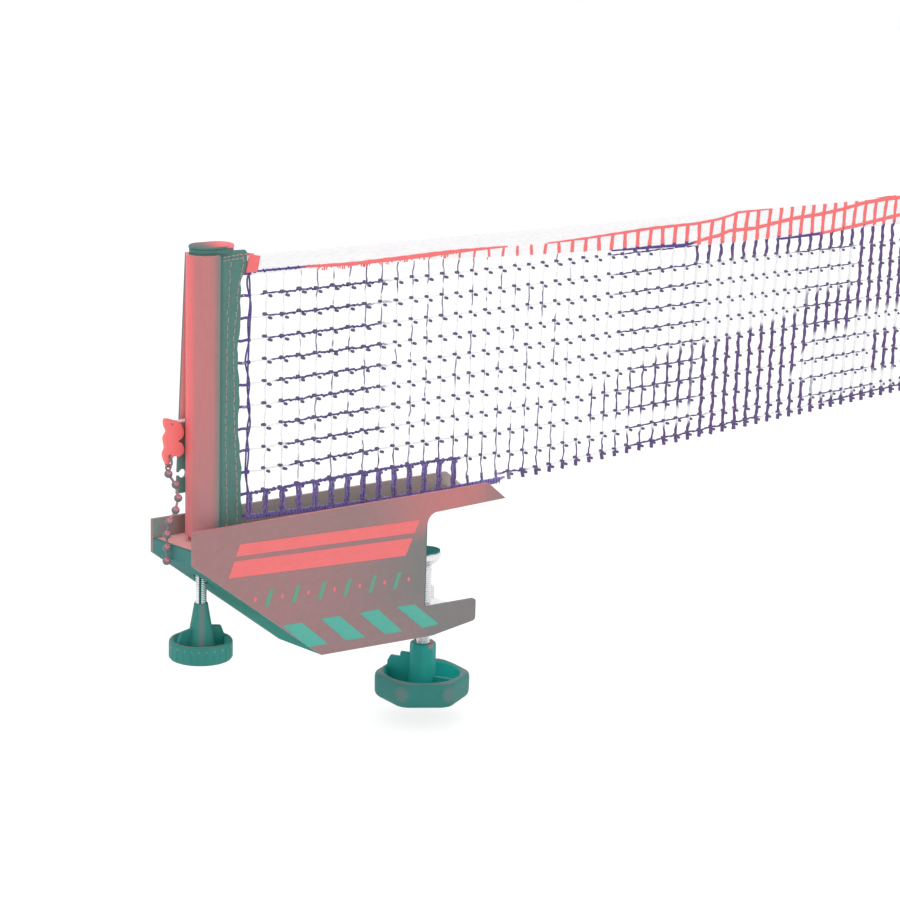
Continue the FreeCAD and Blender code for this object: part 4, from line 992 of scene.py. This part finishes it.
def sway(x, z, scale=1):
    """Small waver of a thread."""
    return scale * (0.22 * sin(0.31 * x + 0.7 * z) + 0.16 * sin(0.83 * x - 0.37 * z))


net_rows = Mesh()
for k in range(12):
    xs = evenly(ROWS_START if k else LOWEST_START, ROWS_END, 330)
    line = [(x, sway(x, 40 * k, 0.6), row_height(k, x) + sway(x, 17 * k)) for x in xs]
    thick = 0.5 if k else 0.62
    net_rows.tube(line, lambda s, a, thick=thick: thick * (1 + 0.2 * sin(s * 1.9)), 5)
for k in range(1, 11):
    for i in range(46):
        x = -118 + 8 * (k > 3) + 1.75 * i
        z = row_height(k, x) + sway(x, 17 * k) + 0.4 * sin(i * 2.4 + k)
        net_rows.knot((x, -0.25 + 0.2 * sin(i * 1.3), z), (0.95, 0.6, 0.5 + 0.2 * sin(i * 1.1)), 0.2)
net_rows.make("net_rows", twine("row_twine", share=rows_dark), "post", "mesh", ("net_mesh",), angle=80)

net_columns = Mesh()
for x in COLUMNS:
    phase = random.random() * 6
    zs = evenly(lowest_row(x) - (4.6 if x > 60 else 0.6), tape_foot(x) + 2, 48)
    line = [(x + sway(z, x, 1.1) + 0.25 * sin(z * 0.53 + phase), 0.2 * sin(z * 0.7 + phase), z) for z in zs]
    thick = between(x, [(-118, 0.4), (100, 0.42), (180, 0.55), (240, 1.05), (330, 1), (400, 1.1)])
    net_columns.tube(line, lambda s, a, thick=thick: thick * (1 + 0.22 * sin(s * 2.3 + x)), 5)
    if x > 60:
        foot = lowest_row(x)
        net_columns.tube([(x + 0.5 * sin(x), 0, foot - 4.4), (x + 0.2, 0, foot - 2), (x, 0, foot + 0.6)],
            lambda s, a: 1.15 + 0.2 * sin(s * 2 + a), 6)
net_columns.make("net_columns", twine("column_twine", (104, 80, 134), columns_dark), "post", "mesh",
    angle=80)

# First cord beside the sleeve: two strands twisted together, and short ends from it to the sleeve
edge_cord = Mesh()
for turn in (0, pi):
    line = []
    for z in evenly(12.4, 142.6, 160):
        angle = z * 0.21 + 1.1 * sin(z * 0.083) + turn
        bow = 0.7 * sin(z * 0.115) + 0.35 * sin(z * 0.31)
        apart = 0.45 + 0.35 * sin(z * 0.07 + 1) ** 2
        line.append((EDGE_CORD_X + bow + apart * cos(angle), 0.6 * sin(angle), z))
    edge_cord.tube(line, 0.5, 6)
for k in range(12):
    z = row_height(k, -130)
    for lift in (-0.32, 0.32):
        line = [(-138 + 8 * t / 6, -0.2 + 0.15 * sin(t), z + lift + 0.2 * sin(t * 1.3 + k))
            for t in range(7)]
        edge_cord.tube(line, 0.46, 6)
    edge_cord.knot((EDGE_CORD_X, -0.3, z), (1, 1, 1.3))
edge_cord.make("net_edge_cord", twine("edge_twine", (92, 88, 158)), "post", "mesh", angle=80)

knots = Mesh()
for x in COLUMNS:
    for k in range(0 if x > 62 else 1, 11):
        z = row_height(k, x) + sway(x, 17 * k)
        if z > tape_foot(x) - 1.5:
            continue
        size = between(x, [(-118, 1.6), (40, 1.6), (200, 1.75), (450, 1.9)])
        shade = 0.85 + 0.3 * random.random()
        knots.knot((x - 1.2, -0.25, z + 0.7), (size * 1.05 * shade, 0.8, 1), -0.2)
        knots.knot((x + 2 + 0.6 * random.random(), -0.25, z - 1.7), (size * shade, 0.8, 1), -0.35)
knots.make("net_knots", twine("knot_twine", (96, 94, 118)), "post", "mesh", angle=80)


# Corner reinforcement: woven strip along the foot of the net with paired posts up to the row above

# Heights of the strip's lower and upper edge
strip_low = polyline([(-132, 11.4), (-121.4, 10.8), (-79.7, 8.5), (-32.1, 6.2), (-18, 5.5), (34, 5.4),
    (65.2, 3.6)])
strip_high = polyline([(-132, 14.2), (-121.4, 13.6), (-32.2, 8.9), (18, 8), (60, 7.7)])
strip = Mesh()
rings = []
for x in evenly(-132.2, 60.8, 120):
    end = ease(x, 52, 60.8)
    low, high = strip_low(x) + 0.15 * sin(x * 1.1), strip_high(x) + 0.25 * sin(x * 1.7)
    low = low + (high - low) * 0.75 * end
    rings.append([(x, -1.45, low), (x, -1.55, (low + high) / 2), (x, -1.45, high), (x, -0.55, high),
        (x, -0.45, (low + high) / 2), (x, -0.55, low)])
strip.loft(rings)
strip.make("corner_strip", cloth("strip_weave", (152, 138, 208), 1.5, 0.8, 0.8, (136, 122, 190)), "post",
    "band", ("corner_band",), angle=60)
pillars = Mesh()
for x in [-129.5] + [c for c in COLUMNS if c < 24]:
    for shift in (-1, 1):
        low, high = strip_low(x) + 0.4, row_height(1, x) - 0.4
        line = [(x + shift + 0.3 * sin(t * 1.4 + x), -1, low + (high - low) * t / 10) for t in range(11)]
        pillars.tube(line, lambda s, a: 0.86 + 0.14 * sin(s * 2), 6)
for c in COLUMNS:
    if 24 < c < 58:
        pillars.tube([(c + 0.4, -1, strip_low(c) + 0.4), (c, -0.9, strip_high(c) + 2),
            (c - 0.3, -0.8, strip_high(c) + 4.6)], 0.8, 6)
for i in range(88):
    x = -131 + 2.15 * i
    lean = 0.35 * sin(i * 1.7)
    pillars.tube([(x - lean, -1.7, strip_low(x) + 0.1), (x, -1.85, (strip_low(x) + strip_high(x)) / 2),
        (x + lean, -1.7, strip_high(x) + 0.5 * sin(i * 2.3))], 0.34, 5)
pillars.make("corner_pillars", twine("pillar_twine", (152, 136, 204)), "post", "band", angle=80)
fuzz = Mesh()
for i in range(165):
    x = -131 + 156 * i / 165
    z = row_height(1, x) + 0.5 * sin(i * 2.4)
    fuzz.knot((x, -0.9, z), (1.1, 0.6, 0.55 + 0.2 * sin(i * 1.1)), 0.2)
fuzz.make("corner_row", twine("corner_row_twine", (108, 98, 168)), "post", "band", angle=80)


# Tape along the upper edge: folded white cloth round the tension cord, with seams and ribs

# Half the thickness of the tape, from its foot (0) to its fold (1)
tape_half = polyline([(0, 0.62), (0.55, 0.75), (0.8, 1.3), (0.9, 1.5), (1, 1.3)])
tape = Mesh()
TAPE_START, TAPE_END = -132.5, 491.3
LEVELS = (0, 0.2, 0.4, 0.6, 0.75, 0.88, 0.96)
rings = []
for x in evenly(TAPE_START, TAPE_END, 208):
    low = tape_foot(x)
    front, back = [[(x, side * tape_half(t) - 0.1 * sin(x * 0.45 + t * 4), low + (NET_TOP - low) * t)
        for t in LEVELS] + [(x, side * 0.6, NET_TOP - 0.06)] for side in (-1, 1)]
    rings.append(front + back[::-1])
tape.loft(rings)
tape_piece = tape.make("tape_cloth", cloth("tape_weave", (250, 249, 250), 0.8, 0.25, 0.12, (247, 246, 248)),
    "post", "tape", ("top_tape",), angle=60)


def tape_side(x, z):
    """Distance of the tape's face from the middle of the net."""
    low = tape_foot(x)
    return tape_half(min(max((z - low) / (NET_TOP - low), 0), 1)) + 0.12


def ribbon(mesh, line, widths, side, lift=0.16):
    """Flat raised band along (x, z) points on one side of the tape; widths has (x, width) pairs."""
    rings = []
    for k, (x, z) in enumerate(line):
        xa, za = line[max(k - 1, 0)]
        xb, zb = line[min(k + 1, len(line) - 1)]
        length = hypot(xb - xa, zb - za) or 1
        dx, dz = -(zb - za) / length, (xb - xa) / length
        w = between(x, widths) / 2 * (1 + 0.12 * sin(k * 2.1))
        ring = []
        for s, up in ((-1, 0), (-0.8, lift), (0, lift * 1.5), (0.8, lift), (1, 0), (0, -0.1)):
            px, pz = x + dx * w * s, z + dz * w * s
            ring.append((px, side * (tape_side(px, pz) + up), pz))
        rings.append(ring)
    mesh.loft(rings)


def stepped(points, step=4):
    """The same polyline with points every few millimetres."""
    out = []
    for (xa, za), (xb, zb) in zip(points, points[1:]):
        count = max(1, int(hypot(xb - xa, zb - za) / step))
        out += [(xa + (xb - xa) * i / count, za + (zb - za) * i / count) for i in range(count)]
    return out + [points[-1]]


UPPER = [(-130, 143.4), (-90.6, 143.3), (-60, 142.4), (-20, 143), (20, 143.8), (57, 143.8), (90, 143.4),
    (121, 144.1), (159, 145.6), (181, 146.5), (222, 146.8), (243, 148.2), (254, 149.8), (263, 151.6),
    (297, 151.9), (490, 151.9)]
MIDDLE = [(205, 133.4), (213, 133.6), (235, 136.8), (245, 137.7), (256, 140.2), (281, 140.2), (301, 142.3),
    (323, 144.3), (347, 145.2), (370, 147), (396, 150.3), (420, 151.6), (437, 151.9)]
LOWER_LEFT = [(146, 135), (180, 134.7), (214, 134)]
LOWER_RIGHT = [(309, 131.4), (348, 132.2), (371, 133.6), (397, 135.7), (411, 137.1), (439, 139.6),
    (490, 142)]
SEAMS = [
    ([p for p in UPPER if p[0] <= 57], [(-130, 0.9), (-90, 1.2), (-60, 2), (0, 2.5), (20, 2), (57, 0.8)]),
    ([p for p in UPPER if 90 <= p[0] <= 297], [(90, 0.7), (120, 1.3), (180, 1.8), (265, 1.5), (297, 0.6)]),
    (MIDDLE, [(205, 1.2), (240, 2.2), (437, 2.6)]),
    (LOWER_LEFT, [(146, 0.8), (180, 1.8), (214, 1.6)]),
    (LOWER_RIGHT, [(309, 1.2), (350, 2), (400, 2.4), (490, 2.6)])]
RIB_WIDTHS = [(0, 1.5), (60, 1.9), (105, 2.8), (160, 3.2), (260, 3.5), (480, 3.6)]
seams = Mesh()
for side in (-1, 1):
    for line, widths in SEAMS:
        ribbon(seams, stepped(line), widths, side)
    for k in range(58):
        x = -129.5 + 1.3 * k
        z = between(x, UPPER) + 0.35 * sin(k * 2.4)
        seams.knot((x, side * (tape_side(x, z) + 0.1), z), (0.8, 0.3, 0.5 + 0.2 * sin(k * 1.1)), 0.2)
    for x in [c for c in COLUMNS if c > 2]:
        top = between(x, UPPER) - 0.2 if x < 275 else 152
        low = tape_foot(x) + 0.4
        lean = 0.5 * sin(x * 1.3)
        ribbon(seams, stepped([(x - lean, low), (x + lean, top)], 2.5), [(0, between(x, RIB_WIDTHS))], side)
    for k in range(34):
        x = -84 + 3.05 * k + 0.8 * sin(k * 2)
        z = between(x, UPPER)
        fringe = [(x, z - 2 - 0.8 * sin(k * 1.3)), (x + 0.3, z)]
        ribbon(seams, stepped(fringe, 1.2), [(0, 0.9)], side)
seams_piece = seams.make("tape_seams", seam_tone(), "post", "tape", angle=60)

patch = Mesh()
rings = []
for i, x in enumerate(evenly(-132.4, -125, 12)):
    top = 153.4 - 0.11 * i
    front = [(x - 1, -1.7 - 0.08 * sin(i), 143.2), (x - 0.1, -1.95, 148), (x + 0.7, -1.7, top - 0.8)]
    rings.append(mirrored(front, [(x + 0.8, 0, top)]))
patch.loft(rings)
patch_piece = patch.make("tape_end", cloth("patch_weave", (246, 124, 125), 0.7, 0.4, 0.25, (238, 118, 120)),
    "post", "tape", angle=50)


# Far hem: folded cloth edge that ends the stretch of net

hem = Mesh()
rings = []
for z in evenly(13.4, 133, 56):
    wave = 0.25 * sin(z * 0.4)
    rings.append(mirrored([(482 + wave, -0.7, z), (484 + wave, -1.3, z), (489, -1.4, z),
        (491.2, -0.8, z)]))
hem.loft(rings)
hem_piece = hem.make("far_hem_cloth", cloth("hem_weave", (236, 232, 240), 0.9, 0.4, 0.3, (226, 220, 232)),
    "post", "tape", ("far_hem",), angle=50)


# Tension cord from the clip up the post and along the tape: three twisted strands

def add_path(curve, kind, points):
    """A line through points, added to a curve."""
    path = curve.splines.new(kind)
    path.points.add(len(points) - 1)
    for held, point in zip(path.points, points):
        held.co = (point[0] / 1000, point[1] / 1000, point[2] / 1000, 1)
    return path


def mesh_of(curve):
    """The curve's mesh."""
    holder = linked(curve.name, curve)
    bpy.context.view_layer.update()
    mesh = bpy.data.meshes.new_from_object(holder)
    bpy.data.objects.remove(holder)
    return mesh


def spline(name, points):
    """Smooth line of a route, read from its curve."""
    curve = bpy.data.curves.new(name, "CURVE")
    curve.dimensions = "3D"
    path = add_path(curve, "NURBS", points)
    path.order_u = 3
    path.use_endpoint_u = True
    curve.resolution_u = 48
    return [v.co * 1000 for v in mesh_of(curve).vertices]


CORD_ROUTE = [(-175.2, 6, 68.4), (-166.5, 6, 68.4), (-161, 6, 68.4), (-160.5, 4.6, 86),
    (-158.4, 0, 146), (-158.2, 0, 151), (-151, 0, 151), (469.5, 0, 151)]
cord = Mesh()
line = spline("cord_route", CORD_ROUTE)
travel, fine = 0, [line[0]]
for a, b in zip(line, line[1:]):
    span = (b - a).length
    parts = max(1, int(span / 0.7)) if travel < 120 else max(1, int(span / 3))
    fine += [a + (b - a) * (i + 1) / parts for i in range(parts)]
    travel += span
lengths = [0]
for a, b in zip(fine, fine[1:]):
    lengths.append(lengths[-1] + (b - a).length)
cord.tube(fine, lambda s, a: 0.78 + 0.12 * abs(cos(1.5 * a + lengths[s] * 0.9)), 12)
cord.make("tension_cord_rope", cloth("rope_fibre", (236, 234, 238), 0.5, 0.4, 0.3, (214, 212, 218)), "post",
    "cord", ("tension_cord",), angle=80)


# Clip: flat moulding with two round lobes, rounded edges, and holes for the cord and the ring

CLIP_HALF, CLIP_ROUND, CLIP_Y = 0.85, 0.45, 6
OUTLINE = [(-179, 70.8), (-171.4, 68.1), (-169.4, 65.9), (-168, 62.8), (-169, 59.8), (-171.9, 58.2),
    (-169, 56.1), (-167.9, 53.5), (-168.4, 51.3), (-170.8, 50), (-174.5, 50.5), (-178.2, 46.8),
    (-180.5, 51.8), (-179.2, 55.4), (-180, 60.8), (-178.1, 64.1), (-179.5, 67.4)]


def smooth_loop(points, steps=5):
    """Closed smooth line through points."""
    out, count = [], len(points)
    for i in range(count):
        a, b, c, d = (Vector(points[(i + j - 1) % count]) for j in range(4))
        for s in range(steps):
            t = s / steps
            out.append(0.5 * (2 * b + (c - a) * t + (2 * a - 5 * b + 4 * c - d) * t * t
                + (3 * b - a - 3 * c + d) * t ** 3))
    return out


flat = bpy.data.curves.new("clip_outline", "CURVE")
flat.dimensions = "2D"
flat.fill_mode = "BOTH"
flat.extrude = CLIP_HALF / 1000
flat.bevel_depth = CLIP_ROUND / 1000
flat.bevel_resolution = 3
# The rounding widens the outline, so its points are first drawn in
inset = [(x + (-174 - x) * 0.045, z + (59 - z) * 0.03, 0) for x, z in OUTLINE]
loops = [smooth_loop(inset)]
for centre, radius in (((-175.2, 67.8), 1.25), ((-177, 51), 1.1)):
    loops.append([(centre[0] + radius * cos(a), centre[1] + radius * sin(a), 0) for a in angles(20)])
for loop in loops:
    add_path(flat, "POLY", loop).use_cyclic_u = True
clip_mesh = mesh_of(flat)
for vertex in clip_mesh.vertices:
    x, z, y = vertex.co
    vertex.co = (x, CLIP_Y / 1000 - y, z)
turn_outward(clip_mesh, weld=1e-6)
finish("clip_moulding", clip_mesh, clip_plastic(), "clip", ("cord_clip",), angle=50)


# Floor, light and camera, in metres

FLOOR_SIZE, FLOOR_Z = 12, -0.128
CAMERA_PLACE = (-0.8328, -0.8893, 0.3064)


def fresh_nodes(block, *kinds):
    """Node tree of a material or world, emptied, with new nodes of these kinds."""
    block.use_nodes = True
    tree = block.node_tree
    tree.nodes.clear()
    return [tree] + [tree.nodes.new("ShaderNode" + kind) for kind in kinds]


def join_sockets(tree, *pairs):
    """Links from each pair's first socket to its second."""
    for start, end in pairs:
        tree.links.new(start, end)


def backdrop():
    """Pale paper that glows for the camera only and keeps the shadow."""
    floor = bpy.data.meshes.new("studio_floor")
    corners = [(x * FLOOR_SIZE, y * FLOOR_SIZE, FLOOR_Z) for x, y in ((-1, -1), (1, -1), (1, 1), (-1, 1))]
    floor.from_pydata(corners, [], [(0, 1, 2, 3)])
    material = bpy.data.materials.new("studio_paper")
    tree, out, paper, glow, both, ray, pick, dim = fresh_nodes(material, "OutputMaterial", "BsdfDiffuse",
        "Emission", "AddShader", "LightPath", "MixShader", "BsdfDiffuse")
    paper.inputs[0].default_value = (0.3, 0.3, 0.3, 1)
    dim.inputs[0].default_value = (0.95, 0.95, 0.95, 1)
    glow.inputs["Strength"].default_value = 0.78
    join_sockets(tree, (paper.outputs[0], both.inputs[0]), (glow.outputs[0], both.inputs[1]),
        (ray.outputs["Is Camera Ray"], pick.inputs[0]), (dim.outputs[0], pick.inputs[1]),
        (both.outputs[0], pick.inputs[2]), (pick.outputs[0], out.inputs[0]))
    floor.materials.append(material)
    linked("studio_floor", floor)


def sky():
    """White to the camera, in mirrors and through glass, and soft light for the rest."""
    world = bpy.data.worlds.new("studio")
    bpy.context.scene.world = world
    tree, out, seen, soft, ray, either, both, pick = fresh_nodes(world, "OutputWorld", "Background",
        "Background", "LightPath", "Math", "Math", "MixShader")
    seen.inputs[0].default_value = soft.inputs[0].default_value = (1, 1, 1, 1)
    seen.inputs[1].default_value = 1
    soft.inputs[1].default_value = 1.04
    either.operation = both.operation = "MAXIMUM"
    join_sockets(tree, (ray.outputs["Is Camera Ray"], either.inputs[0]),
        (ray.outputs["Is Glossy Ray"], either.inputs[1]), (either.outputs[0], both.inputs[0]),
        (ray.outputs["Is Transmission Ray"], both.inputs[1]), (both.outputs[0], pick.inputs[0]),
        (soft.outputs[0], pick.inputs[1]), (seen.outputs[0], pick.inputs[2]),
        (pick.outputs[0], out.inputs[0]))


def softbox(place, aim):
    """Area lamp turned to a point."""
    data = bpy.data.lights.new("softbox_left", "AREA")
    data.size = 1.2
    data.energy = 3
    holder = linked("softbox_left", data)
    holder.location = place
    holder.rotation_euler = (Vector(aim) - Vector(place)).to_track_quat("-Z", "Y").to_euler()


backdrop()
sky()
softbox((-1.6, -1.2, 1.5), (-0.08, 0, 0.04))

yaw, pitch, roll = radians(43.7), radians(12.7), radians(1.7)
forward = Vector((sin(yaw) * cos(pitch), cos(yaw) * cos(pitch), -sin(pitch)))
level = Vector((cos(yaw), -sin(yaw), 0))
upright = level.cross(forward)
right = level * cos(roll) + upright * sin(roll)
up = level * -sin(roll) + upright * cos(roll)
data = bpy.data.cameras.new("camera")
data.lens = 88
data.sensor_width = 36
camera = linked("camera", data)
camera.matrix_world = Matrix.Translation(CAMERA_PLACE) @ Matrix((right, up, -forward)).transposed().to_4x4()
bpy.context.scene.camera = camera
bpy.context.scene.view_settings.view_transform = "Standard"
